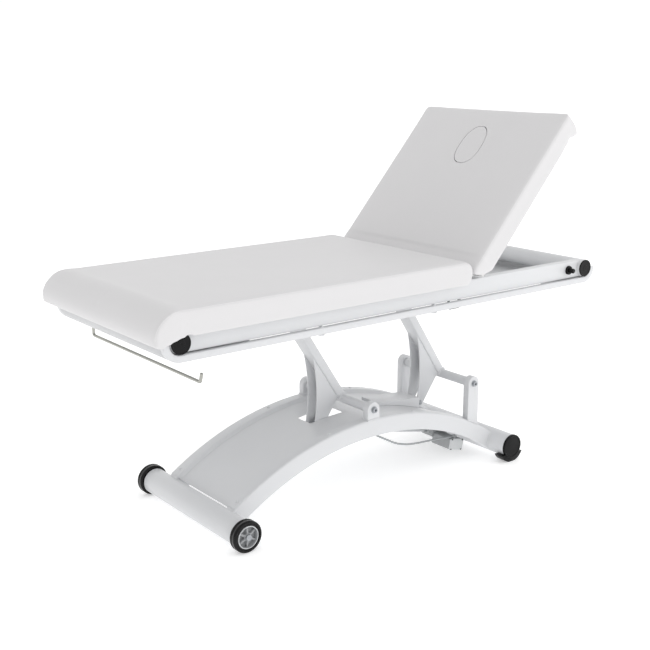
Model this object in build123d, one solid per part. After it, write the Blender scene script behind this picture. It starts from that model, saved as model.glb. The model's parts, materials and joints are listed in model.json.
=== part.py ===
from build123d import *
from math import asin, atan2, cos, degrees, hypot, radians, sin
import os

# Facial treatment bed, millimetres, +Z up, +X towards the head end.
# The origin lies on the floor under the middle of the bed.
# Every piece is drawn at rest: lift fully raised, backrest raised.

# ---- top frame ----
FOOT_X = -811.5          # foot cross tube axis
TUBE_SPACING = 1661.0    # foot cross tube to head cross tube
FRAME_Z = 684.6          # height of both cross tube axes
TUBE_D = 60.0
TUBE_WALL = 2.5
TUBE_HALF = 326.0        # half length of the cross tubes
PLUG_LIP = 5.0           # end plug outside the tube
RAIL_OUT = 315.0         # outer face of the side rails
RAIL_W = 30.0
RAIL_H = 60.0
RAIL_WALL = 2.0
STRIP_OUT = 326.0        # outer face of the lower edge strips
STRIP = 20.0             # square section of the edge strip
STRIP_GAP = 3.0          # shadow gap between strip and rail
APRON_T = 2.0
FOOT_APRON_REACH = 270.0 # flat part of the foot apron, inwards from the tube axis
HEAD_APRON_REACH = 135.0
HEAD_APRON_CORNER = 38.0
HEAD_TONGUE_REACH = 190.0
HEAD_TONGUE_HALF = 60.0
SCREW_X = (-333.5, 119.5)

# ---- lift ----
PIVOT_Z = 297.0
FOOT_PIVOT_X = -14.5
ARM_SPACING = 465.0
ARM_LENGTH = 440.0
ARM_LEAN = 33.5          # degrees from upright at rest
ARM_DEPTH = 30.0
ARM_WIDTH = 60.0
ARM_WALL = 2.5
PIVOT_TUBE_D = 32.0
TOP_TUBE_D = 28.0
LEVER_DX = -107.0        # lever pin from the arm pivot
LEVER_DZ = -90.0
LEVER_OUT = 26.0         # outer faces of the lever plates
LEVER_T = 4.0
TIP_R = 15.0
BOLT_D = 16.0
PIN_D = 14.0
RUN_GAP = 0.05           # radial clearance of a running fit
OPEN_GAP = 0.3           # radial clearance of the pivots left open

# ---- base ----
ARCH_X = -5.5            # middle of the arch
ARCH_RISE = 263.0        # top of the arch over the floor
ARCH_R = 1013.0          # radius of the top surface
BASE_RAIL_H = 58.5
BASE_RAIL_W = 40.0
BASE_RAIL_OUT = 187.0
BASE_RAIL_WALL = 2.5
COPE_WHEEL = 14.0        # start of the rails from the base tube axes
COPE_FOOT = 16.0
PANEL_T = 1.5
PANEL_RECESS = 12.0
WHEEL_X = -585.5
WHEEL_D = 100.0
WHEEL_W = 29.0
WHEEL_OUT = 291.6
BASE_TUBE_D = 84.0
BASE_TUBE_WALL = 3.0
BASE_FOOT_X = 574.5
BASE_FOOT_Z = 56.5
BASE_FOOT_HALF = 262.0
BRACKET_W = 50.0
BRACKET_T = 25.0

# ---- actuator ----
REAR_PIN_DX = -68.0      # from the foot-end base tube axis
REAR_PIN_Z = 70.0
ACT_TUBE_D = 34.0
ACT_ROD_D = 20.0
ACT_TUBE_END = 500.0     # along the axis from the rear pin
CABLE_D = 7.0

# ---- cushions and boards ----
BED_HALF = 350.0
BACK_HALF = 346.0
TOP_Z = 782.0
SKIRT_Z = 707.0          # lower edge of the cushion beside the rails
BOARD_T = 12.0
BOARD_HALF = 328.0
SOFT_GAP = 0.3
FOOT_OVERHANG = 91.0     # cushion nose beyond the foot tube axis
HEAD_OVERHANG = 123.0
BACK_TIP = 8.0            # the backrest roll reaches this much further than the overhang
SEAT_END_X = 262.5       # rear end of the seat cushion

# ---- backrest ----
HINGE_X = 330.8
HINGE_Z = 705.0
BACK_ANGLE = 48.3        # backrest at rest, from flat
BACK_BOARD_GAP = 0.9     # rest height of the flat board over the rails
HINGE_TUBE_D = 20.0
HINGE_PIN_D = 12.0
PLUG_LONG = 165.0
PLUG_WIDE = 108.0
PLUG_X = 807.0           # middle of the face hole, backrest flat
PLUG_LEDGE = 12.0
GAS_Y = 150.0
GAS_ANCHOR_DX = -300.0   # from the hinge
GAS_ANCHOR_Z = 662.0
GAS_LEVER = 50.0
GAS_PIN_D = 8.0
GAS_SLOT = 9.0           # free travel of the pin each way in the lever slot

# ---- worked out from the sizes above ----
HEAD_X = FOOT_X + TUBE_SPACING
RAIL_IN = RAIL_OUT - RAIL_W
RAIL_TOP = FRAME_Z + RAIL_H / 2
RAIL_BOTTOM = FRAME_Z - RAIL_H / 2
STRIP_TOP = RAIL_BOTTOM - STRIP_GAP
STRIP_BOTTOM = STRIP_TOP - STRIP
CURL_IN = TUBE_D / 2 + STRIP_GAP
CURL_OUT = CURL_IN + STRIP
HEAD_PIVOT_X = FOOT_PIVOT_X + ARM_SPACING
LEAN = radians(ARM_LEAN)
ARM_DIR = (-sin(LEAN), cos(LEAN))
UPPER_DX = ARM_LENGTH * ARM_DIR[0]
UPPER_Z = PIVOT_Z + ARM_LENGTH * ARM_DIR[1]
ARCH_Z = ARCH_RISE - ARCH_R
RAIL_R = ARCH_R - PANEL_T
BASE_RAIL_IN = BASE_RAIL_OUT - BASE_RAIL_W
WHEEL_R = WHEEL_D / 2
BRACKET_IN = BASE_RAIL_OUT - BRACKET_T
REAR_PIN_X = BASE_FOOT_X + REAR_PIN_DX
TIP_X = FOOT_PIVOT_X + LEVER_DX
TIP_Z = PIVOT_Z + LEVER_DZ
ACT_LENGTH = hypot(TIP_X - REAR_PIN_X, TIP_Z - REAR_PIN_Z)
ACT_ANGLE = degrees(atan2(TIP_Z - REAR_PIN_Z, REAR_PIN_X - TIP_X))
LEVER_IN = LEVER_OUT - LEVER_T
BOARD_TOP = RAIL_TOP + BOARD_T
BACK_BOARD_Z = RAIL_TOP + BACK_BOARD_GAP
CROSSBAR_H = 25.0
CROSSBAR_Z = RAIL_TOP - CROSSBAR_H
SIDES = (-1, 1)


# ---- small helpers ----
def block(x0, x1, y0, y1, z0, z1):
    """Box between two corners."""
    middle = Pos((x0 + x1) / 2, (y0 + y1) / 2, (z0 + z1) / 2)
    return middle * Box(abs(x1 - x0), abs(y1 - y0), abs(z1 - z0))


def rod_y(x, z, radius, y0, y1):
    """Round bar along Y."""
    turned = Pos(x, (y0 + y1) / 2, z) * Rot(90, 0, 0)
    return turned * Cylinder(radius, abs(y1 - y0))


def rod_z(x, y, radius, z0, z1):
    """Upright round bar."""
    return Pos(x, y, (z0 + z1) / 2) * Cylinder(radius, z1 - z0)


def slab(face, y0, y1):
    """Face of the XZ plane made solid between two Y planes."""
    return Pos(0, (y0 + y1) / 2, 0) * extrude(face, abs(y1 - y0) / 2, both=True)


def side_face(*edges):
    """Closed outline drawn as (x, z), as a face of the XZ plane."""
    return Plane.XZ * make_face(Wire(edges))


def side_polygon(*points):
    return Plane.XZ * make_face(Polyline(*points, close=True))


def mirrored(solid):
    """A solid and its twin on the other side of the bed."""
    return [solid, mirror(solid, Plane.XZ)]


def hexagon_y(x, z, across, y0, y1):
    """Hexagon bar along Y, for bolt heads."""
    face = Plane.XZ * Pos(x, z) * RegularPolygon(across / 2, 6, major_radius=False)
    return slab(face, y0, y1)


# ---- top frame ----
def side_rail(side):
    rail = block(FOOT_X, HEAD_X, side * RAIL_IN, side * RAIL_OUT, RAIL_BOTTOM, RAIL_TOP)
    hollow = block(FOOT_X - 1, HEAD_X + 1, side * (RAIL_IN + RAIL_WALL), side * (RAIL_OUT - RAIL_WALL),
                   RAIL_BOTTOM + RAIL_WALL, RAIL_TOP - RAIL_WALL)
    rail -= hollow
    for x in (FOOT_X, HEAD_X):
        rail -= rod_y(x, FRAME_Z, TUBE_D / 2 + RUN_GAP, -TUBE_HALF, TUBE_HALF)
    return rail


def curled_section(inner, outer):
    """Flat run under the frame whose ends curl up round both cross tubes."""
    turn = 0.5 ** 0.5
    pieces = []
    for x, way in ((FOOT_X, -1), (HEAD_X, 1)):
        pieces.append(side_face(
            Line((x, FRAME_Z - outer), (x, FRAME_Z - inner)),
            ThreePointArc((x, FRAME_Z - inner), (x + way * inner * turn, FRAME_Z - inner * turn),
                          (x + way * inner, FRAME_Z)),
            Line((x + way * inner, FRAME_Z), (x + way * outer, FRAME_Z)),
            ThreePointArc((x + way * outer, FRAME_Z), (x + way * outer * turn, FRAME_Z - outer * turn),
                          (x, FRAME_Z - outer))))
    return pieces


def edge_strip(side):
    """Square strip under each side rail, with both ends curled up."""
    y0 = side * (STRIP_OUT - STRIP)
    y1 = side * STRIP_OUT
    strip = block(FOOT_X, HEAD_X, y0, y1, STRIP_BOTTOM, STRIP_TOP)
    for face in curled_section(CURL_IN, CURL_OUT):
        strip += slab(face, y0, y1)
    return strip


def cross_tube(x):
    tube = rod_y(x, FRAME_Z, TUBE_D / 2, -TUBE_HALF, TUBE_HALF)
    return tube - rod_y(x, FRAME_Z, TUBE_D / 2 - TUBE_WALL, -TUBE_HALF, TUBE_HALF)


def tube_plugs():
    plugs = []
    for x in (FOOT_X, HEAD_X):
        lip = rod_y(x, FRAME_Z, TUBE_D / 2, TUBE_HALF, TUBE_HALF + PLUG_LIP)
        lip = fillet(lip.edges().sort_by(Axis.Y)[-1], 2)
        core = rod_y(x, FRAME_Z, TUBE_D / 2 - TUBE_WALL - RUN_GAP, TUBE_HALF - 18, TUBE_HALF)
        plugs += mirrored(lip + core)
    return plugs


def apron(x, way, reach):
    """Sheet that closes the frame from below at one end and curls up round the tube."""
    inner = CURL_OUT - APRON_T
    half = STRIP_OUT - STRIP
    turn = 0.5 ** 0.5
    curl = side_face(
        Line((x, FRAME_Z - CURL_OUT), (x, FRAME_Z - inner)),
        ThreePointArc((x, FRAME_Z - inner), (x + way * inner * turn, FRAME_Z - inner * turn),
                      (x + way * inner, FRAME_Z)),
        Line((x + way * inner, FRAME_Z), (x + way * CURL_OUT, FRAME_Z)),
        ThreePointArc((x + way * CURL_OUT, FRAME_Z), (x + way * CURL_OUT * turn, FRAME_Z - CURL_OUT * turn),
                      (x, FRAME_Z - CURL_OUT)))
    flat = block(x - way * reach, x, -half, half, STRIP_BOTTOM, STRIP_BOTTOM + APRON_T)
    return slab(curl, -half, half) + flat


def head_apron():
    """The head apron has rounded inner corners and a tongue in the middle."""
    sheet = apron(HEAD_X, 1, HEAD_APRON_REACH - HEAD_APRON_CORNER)
    half = STRIP_OUT - STRIP
    long = HEAD_TONGUE_REACH - HEAD_APRON_REACH + 2 * HEAD_APRON_CORNER
    edge = Pos(HEAD_X - HEAD_APRON_REACH + HEAD_APRON_CORNER, 0, STRIP_BOTTOM)
    lip = edge * extrude(RectangleRounded(2 * HEAD_APRON_CORNER, 2 * half, HEAD_APRON_CORNER - 0.1), APRON_T)
    middle = Pos(HEAD_X - HEAD_TONGUE_REACH + long / 2, 0, STRIP_BOTTOM)
    tongue = middle * extrude(RectangleRounded(long, 2 * HEAD_TONGUE_HALF, 20), APRON_T)
    return sheet + lip + tongue


def strip_screws():
    """Button screws under the strips, with the spacers that set the shadow gap."""
    y = STRIP_OUT - STRIP / 2
    groups = []
    for x in SCREW_X:
        head = rod_z(x, y, 11, STRIP_BOTTOM - 4.5, STRIP_BOTTOM)
        head = fillet(head.edges().sort_by(Axis.Z)[0], 3)
        spacer = rod_z(x, y, 7, STRIP_TOP, RAIL_BOTTOM)
        groups += mirrored(head) + mirrored(spacer)
    return groups


def lift_crossbar(x):
    """Crossbar between the side rails, with two ears that hold an arm's upper pin."""
    bar = block(x - 20, x + 20, -RAIL_IN, RAIL_IN, CROSSBAR_Z, RAIL_TOP)
    bar -= block(x - 17.5, x + 17.5, -RAIL_IN, RAIL_IN, CROSSBAR_Z + 2.5, RAIL_TOP - 2.5)
    ear_y = ARM_WIDTH / 2 + 36
    ear = block(x - 18, x + 18, ear_y, ear_y + 6, UPPER_Z, CROSSBAR_Z)
    ear += rod_y(x, UPPER_Z, 18, ear_y, ear_y + 6)
    ear -= rod_y(x, UPPER_Z, PIN_D / 2, ear_y, ear_y + 6)
    return [bar] + mirrored(ear)


def pivot_pins():
    """Upper arm pins, and the two backrest hinge bolts."""
    pins = []
    end = ARM_WIDTH / 2 + 42
    for x in (FOOT_PIVOT_X + UPPER_DX, HEAD_PIVOT_X + UPPER_DX):
        pin = rod_y(x, UPPER_Z, PIN_D / 2, -end, end)
        pin += rod_y(x, UPPER_Z, 10, end, end + 5) + rod_y(x, UPPER_Z, 10, -end - 5, -end)
        pins.append(pin)
    pins += mirrored(rod_y(HINGE_X, HINGE_Z, HINGE_PIN_D / 2, LUG_IN - 18, RAIL_IN))
    return pins


LUG_IN = RAIL_IN - 17.0


def frame_lugs():
    """Small parts welded inside the side rails: hinge lugs, bumper tabs, lever lug."""
    lug = block(HINGE_X - 19, HINGE_X + 19, LUG_IN, RAIL_IN, HINGE_Z - 24, HINGE_Z + 8)
    lug -= rod_y(HINGE_X, HINGE_Z, HINGE_PIN_D / 2, LUG_IN, RAIL_IN)
    tab = block(BUMPER_X - 12, BUMPER_X + 12, RAIL_IN - 24, RAIL_IN, RAIL_TOP - 13, RAIL_TOP - 9)
    lever = block(LEVER_X - 11, LEVER_X + 11, -RAIL_IN, 6 - RAIL_IN, LEVER_PIVOT_Z - 11, LEVER_PIVOT_Z + 11)
    boss = rod_y(LEVER_X, LEVER_PIVOT_Z, 4, 6 - RAIL_IN, 18 - RAIL_IN)
    return mirrored(lug) + mirrored(tab) + [lever + boss]


BUMPER_X = HINGE_X + 43.0


def rest_bumpers():
    """Rubber pads that the flat backrest board lies on."""
    pad = rod_z(BUMPER_X, RAIL_IN - 11, 10, RAIL_TOP - 9, BACK_BOARD_Z - SOFT_GAP)
    pad = fillet(pad.edges().sort_by(Axis.Z)[-1], 2)
    return mirrored(pad)


def gas_crossbar():
    x = HINGE_X + GAS_ANCHOR_DX
    bar = block(x - 12.5, x + 12.5, -RAIL_IN, RAIL_IN, CROSSBAR_Z, RAIL_TOP)
    bar -= block(x - 10.5, x + 10.5, -RAIL_IN, RAIL_IN, CROSSBAR_Z + 2, RAIL_TOP - 2)
    parts = [bar, rod_y(x, GAS_ANCHOR_Z, GAS_PIN_D / 2, GAS_Y - 12.5, GAS_Y + 12.5)]
    for way in SIDES:
        y0 = GAS_Y + way * 8.5
        y1 = GAS_Y + way * 12.5
        ear = block(x - 11, x + 11, y0, y1, GAS_ANCHOR_Z, CROSSBAR_Z)
        ear += rod_y(x, GAS_ANCHOR_Z, 11, y0, y1)
        parts.append(ear - rod_y(x, GAS_ANCHOR_Z, GAS_PIN_D / 2, y0, y1))
    return parts


# ---- controls on the top frame ----
LEVER_X = 228.5
LEVER_PIVOT_Z = 668.0
LEVER_ROD_D = 8.0
KNOB_X = HEAD_X - 76.0


def release_lever():
    """Bent rod under the frame that lets the backrest move."""
    y = -RAIL_IN + 13
    low = STRIP_BOTTOM - 15
    path = FilletPolyline((LEVER_X, y, LEVER_PIVOT_Z - 8), (LEVER_X, y, low), (LEVER_X + 50, y, low),
                          (LEVER_X + 50, y, low + 16), radius=7)
    rod = sweep(Plane(origin=path @ 0, z_dir=path % 0) * Circle(LEVER_ROD_D / 2), path)
    eye = rod_y(LEVER_X, LEVER_PIVOT_Z, 9, y - 5, y + 5)
    eye -= rod_y(LEVER_X, LEVER_PIVOT_Z, 4 + RUN_GAP, y - 5, y + 5)
    grip = rod_z(LEVER_X + 50, y, 6.5, low + 7, low + 24)
    return rod + eye + grip


KNOB_R = 8.5
KNOB_TRAVEL = 6.0
KNOB_COLLAR = 8.0


def knob_flange():
    """Collar on the right-hand rail that the push button slides in."""
    flange = rod_y(KNOB_X, FRAME_Z, 15.5, -RAIL_OUT - KNOB_COLLAR, -RAIL_OUT)
    flange = fillet(flange.edges().sort_by(Axis.Y)[0], 2)
    return flange - rod_y(KNOB_X, FRAME_Z, KNOB_R + RUN_GAP, -RAIL_OUT - KNOB_COLLAR, -RAIL_OUT)


def clamp_knob():
    inner = -RAIL_OUT - KNOB_TRAVEL - SOFT_GAP
    knob = rod_y(KNOB_X, FRAME_Z, KNOB_R, -RAIL_OUT - 26, inner)
    return fillet(knob.edges().sort_by(Axis.Y)[0], 2)


def paper_bar():
    """Stainless bar for a paper roll, hung from a block on the foot apron."""
    x = FOOT_X + 50
    low = 572.0
    far = 292.0
    near = -337.0
    path = FilletPolyline((x, far, STRIP_BOTTOM - 6), (x, far, low), (x, near, low), (x, near - 8, low + 26), radius=8)
    bar = sweep(Plane(origin=path @ 0, z_dir=path % 0) * Circle(4.5), path)
    socket = block(x - 14, x + 14, far - 13, far + 13, STRIP_BOTTOM - 8, STRIP_BOTTOM)
    return bar + socket


# ---- seat ----
def nose(x, way, top_start, reach, low_z, hook_in):
    """Closed outline of the rolled end of a cushion, from its flat top to the hook's inner side."""
    tip = x + way * reach
    start = tip - way * top_start
    inner = x + way * hook_in
    return [
        ThreePointArc((start, TOP_Z), (tip - way * top_start * 0.26, TOP_Z - 22), (tip, TOP_Z - 70)),
        Line((tip, TOP_Z - 70), (tip - way * 4, low_z + 8)),
        ThreePointArc((tip - way * 4, low_z + 8), (tip - way * 14, low_z + 1), (tip - way * 26, low_z)),
        Line((tip - way * 26, low_z), (inner, low_z + 3)),
    ]


def seat_cushion():
    """Padded seat: a rolled nose at the foot, sides that lap over the rails, an undercut rear end."""
    rolled = nose(FOOT_X, -1, 99, FOOT_OVERHANG, FRAME_Z, 57)
    inner = (FOOT_X - 57, FRAME_Z + 3)
    end = SEAT_END_X
    outline = rolled + [
        Line(inner, (FOOT_X + 16, SKIRT_Z + 3)),
        Line((FOOT_X + 16, SKIRT_Z + 3), (FOOT_X + 26, SKIRT_Z)),
        Line((FOOT_X + 26, SKIRT_Z), (end - 22, SKIRT_Z)),
        ThreePointArc((end - 22, SKIRT_Z), (end - 10, SKIRT_Z + 12), (end, SKIRT_Z + 40)),
        ThreePointArc((end, SKIRT_Z + 40), (end - 9, TOP_Z - 12), (end - 36, TOP_Z)),
        Line((end - 36, TOP_Z), (FOOT_X - FOOT_OVERHANG + 99, TOP_Z)),
    ]
    pad = slab(side_face(*outline), -BED_HALF, BED_HALF)
    inside = BOARD_HALF + 5
    pocket = block(FOOT_X, end + 5, -inside, inside, SKIRT_Z - 5, BOARD_TOP + SOFT_GAP)
    pocket += rod_y(FOOT_X, FRAME_Z, TUBE_D / 2 + 4, -inside, inside)
    pocket += block(FOOT_X - CURL_OUT - 3, FOOT_X, -inside, inside, FRAME_Z - 20, FRAME_Z + 4)
    return pad - pocket


def seat_board():
    return block(FOOT_X + 6, SEAT_END_X - 16, -BOARD_HALF, BOARD_HALF, RAIL_TOP, BOARD_TOP)


# ---- backrest, drawn flat and then raised about the hinge ----
def raised(solid):
    """Turn a piece of the backrest from flat to its rest angle."""
    return Pos(HINGE_X, 0, HINGE_Z) * Rot(0, -BACK_ANGLE, 0) * Pos(-HINGE_X, 0, -HINGE_Z) * solid


def face_hole(shrink, z0, z1):
    hole = Ellipse(PLUG_LONG / 2 - shrink, PLUG_WIDE / 2 - shrink)
    return Pos(PLUG_X, 0, z0) * extrude(hole, z1 - z0)


def backrest_cushion():
    board_x = HINGE_X + 8
    # The head end is a tight roll: its front edge turns on a 25 mm radius.
    tip = HEAD_X + HEAD_OVERHANG + BACK_TIP
    front = (tip - 25, TOP_Z)
    end = (tip, TOP_Z - 25)
    heel = (tip - 24, FRAME_Z + 22)
    lip = (HEAD_X + 92, FRAME_Z + 14)
    inner = (HEAD_X + 86, FRAME_Z + 17)
    outline = [
        ThreePointArc(front, (tip - 7.3, TOP_Z - 7.3), end),
        ThreePointArc(end, (tip - 7, FRAME_Z + 43), heel),
        ThreePointArc(heel, (tip - 30, FRAME_Z + 15.5), lip),
        Line(lip, inner),
    ]
    low = SKIRT_Z + 4
    outline += [
        Line(inner, (HEAD_X + 62, low + 6)),
        Line((HEAD_X + 62, low + 6), (HEAD_X + 50, low)),
        Line((HEAD_X + 50, low), (HINGE_X + 40, low)),
        Line((HINGE_X + 40, low), (board_x - 4, BACK_BOARD_Z + BOARD_T + 8)),
        Line((board_x - 4, BACK_BOARD_Z + BOARD_T + 8), (HINGE_X - 14, TOP_Z - 20)),
        ThreePointArc((HINGE_X - 14, TOP_Z - 20), (HINGE_X - 8, TOP_Z - 5), (HINGE_X + 8, TOP_Z)),
        Line((HINGE_X + 8, TOP_Z), front),
    ]
    pad = slab(side_face(*outline), -BACK_HALF, BACK_HALF)
    inside = BOARD_HALF + 4
    pocket = block(HINGE_X - 30, HEAD_X + 60, -inside, inside, SKIRT_Z - 12, BACK_BOARD_Z + BOARD_T + SOFT_GAP)
    pad -= pocket
    pad -= face_hole(0, BACK_BOARD_Z, TOP_Z + 5)
    return raised(pad)


def backrest_board():
    top = BACK_BOARD_Z + BOARD_T
    board = block(HINGE_X + 8, HEAD_X + 56, -BOARD_HALF, BOARD_HALF, BACK_BOARD_Z, top)
    return raised(board - face_hole(PLUG_LEDGE, BACK_BOARD_Z - 1, top + 1))


def face_plug():
    bottom = BACK_BOARD_Z + BOARD_T + SOFT_GAP
    plug = face_hole(1.0, bottom, TOP_Z)
    plug = fillet(plug.edges().group_by(Axis.Z)[-1], 5)
    return raised(plug)


ARM_Y = 236.0
BACK_ARM = 22.0
BACK_CROSS_X = (HINGE_X + 170, HINGE_X + 360)
BACK_ARM_END = HINGE_X + 475


def backrest_frame():
    """Torsion tube on the hinge axis, two side arms and the gas spring lever."""
    half = LUG_IN - 0.5
    tube = rod_y(HINGE_X, HINGE_Z, HINGE_TUBE_D / 2, -half, half)
    tube -= rod_y(HINGE_X, HINGE_Z, HINGE_PIN_D / 2 + RUN_GAP, -half - 1, half + 1)
    arm = block(HINGE_X + 7, BACK_ARM_END, ARM_Y - BACK_ARM / 2, ARM_Y + BACK_ARM / 2,
                BACK_BOARD_Z - BACK_ARM, BACK_BOARD_Z)
    arm -= rod_y(HINGE_X, HINGE_Z, HINGE_TUBE_D / 2, 0, half)
    parts = [tube] + mirrored(arm)
    swing = radians(32.5 - BACK_ANGLE)
    plates = lever_plates(swing)
    return [tube] + plates + [raised(solid) for solid in parts[1:]]


def lever_plates(swing):
    """Two plates under the torsion tube with a slot each for the gas spring pin."""
    ex = HINGE_X - GAS_LEVER * sin(swing)
    ez = HINGE_Z - GAS_LEVER * cos(swing)
    plates = []
    for way in SIDES:
        y0 = GAS_Y + way * 9.5
        y1 = GAS_Y + way * 13.5
        turned = Pos(HINGE_X, 0, HINGE_Z) * Rot(0, degrees(swing), 0)
        body = block(-11, 11, y0, y1, -GAS_LEVER - GAS_SLOT, -4)
        plate = turned * (body + rod_y(0, -GAS_LEVER - GAS_SLOT, 11, y0, y1))
        slot = turned * block(-SLOT_HALF, SLOT_HALF, y0, y1, -GAS_LEVER - GAS_SLOT, -GAS_LEVER + GAS_SLOT)
        plate -= slot
        plate -= turned * rod_y(0, -GAS_LEVER - GAS_SLOT, SLOT_HALF, y0, y1)
        plate -= turned * rod_y(0, -GAS_LEVER + GAS_SLOT, SLOT_HALF, y0, y1)
        plate -= rod_y(HINGE_X, HINGE_Z, HINGE_TUBE_D / 2, y0, y1)
        plates.append(plate)
    return plates


SLOT_HALF = 7.0


def backrest_cross_tubes():
    tubes = []
    for x in BACK_CROSS_X:
        half = ARM_Y - BACK_ARM / 2
        tubes.append(raised(block(x - 10, x + 10, -half, half, BACK_BOARD_Z - 20, BACK_BOARD_Z)))
    return tubes


# ---- gas spring ----
def gas_line():
    """Ends of the gas spring at rest: the frame pin and the lever pin."""
    swing = radians(BACK_ANGLE - 32.5)
    start = (HINGE_X + GAS_ANCHOR_DX, GAS_ANCHOR_Z)
    end = (HINGE_X + GAS_LEVER * sin(swing), HINGE_Z - GAS_LEVER * cos(swing))
    return start, end


def along(start, end, solid):
    """Place a piece drawn along +X from the origin on the line from start to end."""
    angle = degrees(atan2(end[1] - start[1], end[0] - start[0]))
    return Pos(start[0], 0, start[1]) * Rot(0, -angle, 0) * solid


def rod_x(x0, x1, radius, y=0.0, z=0.0):
    return Pos((x0 + x1) / 2, y, z) * Rot(0, 90, 0) * Cylinder(radius, x1 - x0)


def gas_cylinder():
    start, end = gas_line()
    eye = rod_y(0, 0, 10, GAS_Y - 8, GAS_Y + 8)
    eye += rod_x(6, 16, 7, GAS_Y)
    barrel = rod_x(14, 178, 11, GAS_Y) - rod_x(30, 179, 9, GAS_Y)
    cap = rod_x(170, 178, 11, GAS_Y) - rod_x(160, 179, 4 + RUN_GAP, GAS_Y)
    body = eye + barrel + cap
    body -= rod_y(0, 0, GAS_PIN_D / 2 + RUN_GAP, GAS_Y - 9, GAS_Y + 9)
    return along(start, end, body)


def gas_rod():
    start, end = gas_line()
    length = hypot(end[0] - start[0], end[1] - start[1])
    rod = rod_x(length - 215, length - 5, 4, GAS_Y)
    piston = rod_x(length - 215, length - 205, 8.9, GAS_Y)
    eye = rod_y(length, 0, 8, GAS_Y - 9, GAS_Y + 9)
    pin = rod_y(length, 0, GAS_PIN_D / 2, GAS_Y - 16, GAS_Y + 16)
    return along(start, end, rod + piston + eye + pin)


# ---- lift arms ----
def arm_tube(pivot_x, upper_gap):
    """Box arm welded to its pivot tube below and its top tube above."""
    half = BRACKET_IN - 0.5
    top_half = ARM_WIDTH / 2 + 35.5
    arm = block(-ARM_DEPTH / 2, ARM_DEPTH / 2, -ARM_WIDTH / 2, ARM_WIDTH / 2, 0, ARM_LENGTH)
    inner = ARM_WIDTH / 2 - ARM_WALL
    arm -= block(-ARM_DEPTH / 2 + ARM_WALL, ARM_DEPTH / 2 - ARM_WALL, -inner, inner,
                 PIVOT_TUBE_D / 2 + 2, ARM_LENGTH - TOP_TUBE_D / 2 - 2)
    arm += rod_y(0, 0, PIVOT_TUBE_D / 2, -half, half)
    arm += rod_y(0, ARM_LENGTH, TOP_TUBE_D / 2 + 1, -ARM_WIDTH / 2, ARM_WIDTH / 2)
    arm += rod_y(0, ARM_LENGTH, TOP_TUBE_D / 2, -top_half, top_half)
    for side in SIDES:
        arm -= rod_y(0, 0, BOLT_D / 2 + RUN_GAP, side * (half - 45), side * (half + 1))
    arm -= rod_y(0, ARM_LENGTH, PIN_D / 2 + upper_gap, -top_half - 1, top_half + 1)
    return Pos(pivot_x, 0, PIVOT_Z) * Rot(0, -ARM_LEAN, 0) * arm


def lever_outline(pivot_x):
    """Sail-shaped plate between the underside of the arm and the lever pin."""
    back = (-cos(LEAN) * ARM_DEPTH / 2, -sin(LEAN) * ARM_DEPTH / 2)
    near = (back[0] + 16 * ARM_DIR[0], back[1] + 16 * ARM_DIR[1])
    far = (back[0] + 206 * ARM_DIR[0], back[1] + 206 * ARM_DIR[1])
    tip = (LEVER_DX, LEVER_DZ)
    left = (LEVER_DX - TIP_R, LEVER_DZ + 5)
    run = (near[0] - tip[0], near[1] - tip[1])
    length = hypot(*run)
    turn = asin((TIP_R - 4) / length)
    aim = atan2(run[1], run[0])
    right = (tip[0] + TIP_R * sin(aim - turn), tip[1] - TIP_R * cos(aim - turn))
    shift = [(pivot_x + x, PIVOT_Z + z) for x, z in
             (near, far, (-111, 58), left, (LEVER_DX, LEVER_DZ - TIP_R), right)]
    near, far, waist, left, bottom, right = shift
    return side_face(Line(near, far), ThreePointArc(far, waist, left), ThreePointArc(left, bottom, right),
                     Line(right, near))


def lever_pair(pivot_x):
    plates = []
    face = lever_outline(pivot_x)
    plate = slab(face, LEVER_IN, LEVER_OUT)
    plate -= rod_y(pivot_x + LEVER_DX, TIP_Z, PIN_D / 2, LEVER_IN, LEVER_OUT)
    plate -= rod_y(pivot_x, PIVOT_Z, PIVOT_TUBE_D / 2, LEVER_IN, LEVER_OUT)
    plates += mirrored(plate)
    return plates


def lever_pin(pivot_x):
    x = pivot_x + LEVER_DX
    pin = rod_y(x, TIP_Z, PIN_D / 2, -LEVER_OUT, LEVER_OUT)
    head = hexagon_y(x, TIP_Z, 13, LEVER_OUT, LEVER_OUT + 5)
    washer = rod_y(x, TIP_Z, 9, LEVER_OUT, LEVER_OUT + 1.5)
    for solid in mirrored(head + washer):
        pin += solid
    return pin


def tie_bars():
    """Two flats that join the lever pins of both arms."""
    y0 = LEVER_IN - 4.0
    y1 = LEVER_IN - 0.5
    x0 = TIP_X
    x1 = TIP_X + ARM_SPACING
    bar = block(x0, x1, y0, y1, TIP_Z - 12, TIP_Z + 12)
    bar += rod_y(x0, TIP_Z, 12, y0, y1) + rod_y(x1, TIP_Z, 12, y0, y1)
    bar -= rod_y(x0, TIP_Z, PIN_D / 2 + RUN_GAP, y0, y1)
    bar -= rod_y(x1, TIP_Z, PIN_D / 2 + OPEN_GAP, y0, y1)
    return mirrored(bar)


# ---- actuator, drawn along +X from its rear pin, +Z up, then turned half round to its place ----
def placed(solid):
    return Pos(REAR_PIN_X, 0, REAR_PIN_Z) * Rot(0, ACT_ANGLE - 180, 0) * Rot(180, 0, 0) * solid


GEAR_HALF = 28.0
MOTOR_END = 117.0
MOTOR_LOW = -52.0
MOTOR_TOP = -12.0
GLAND_X = 76.0


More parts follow.
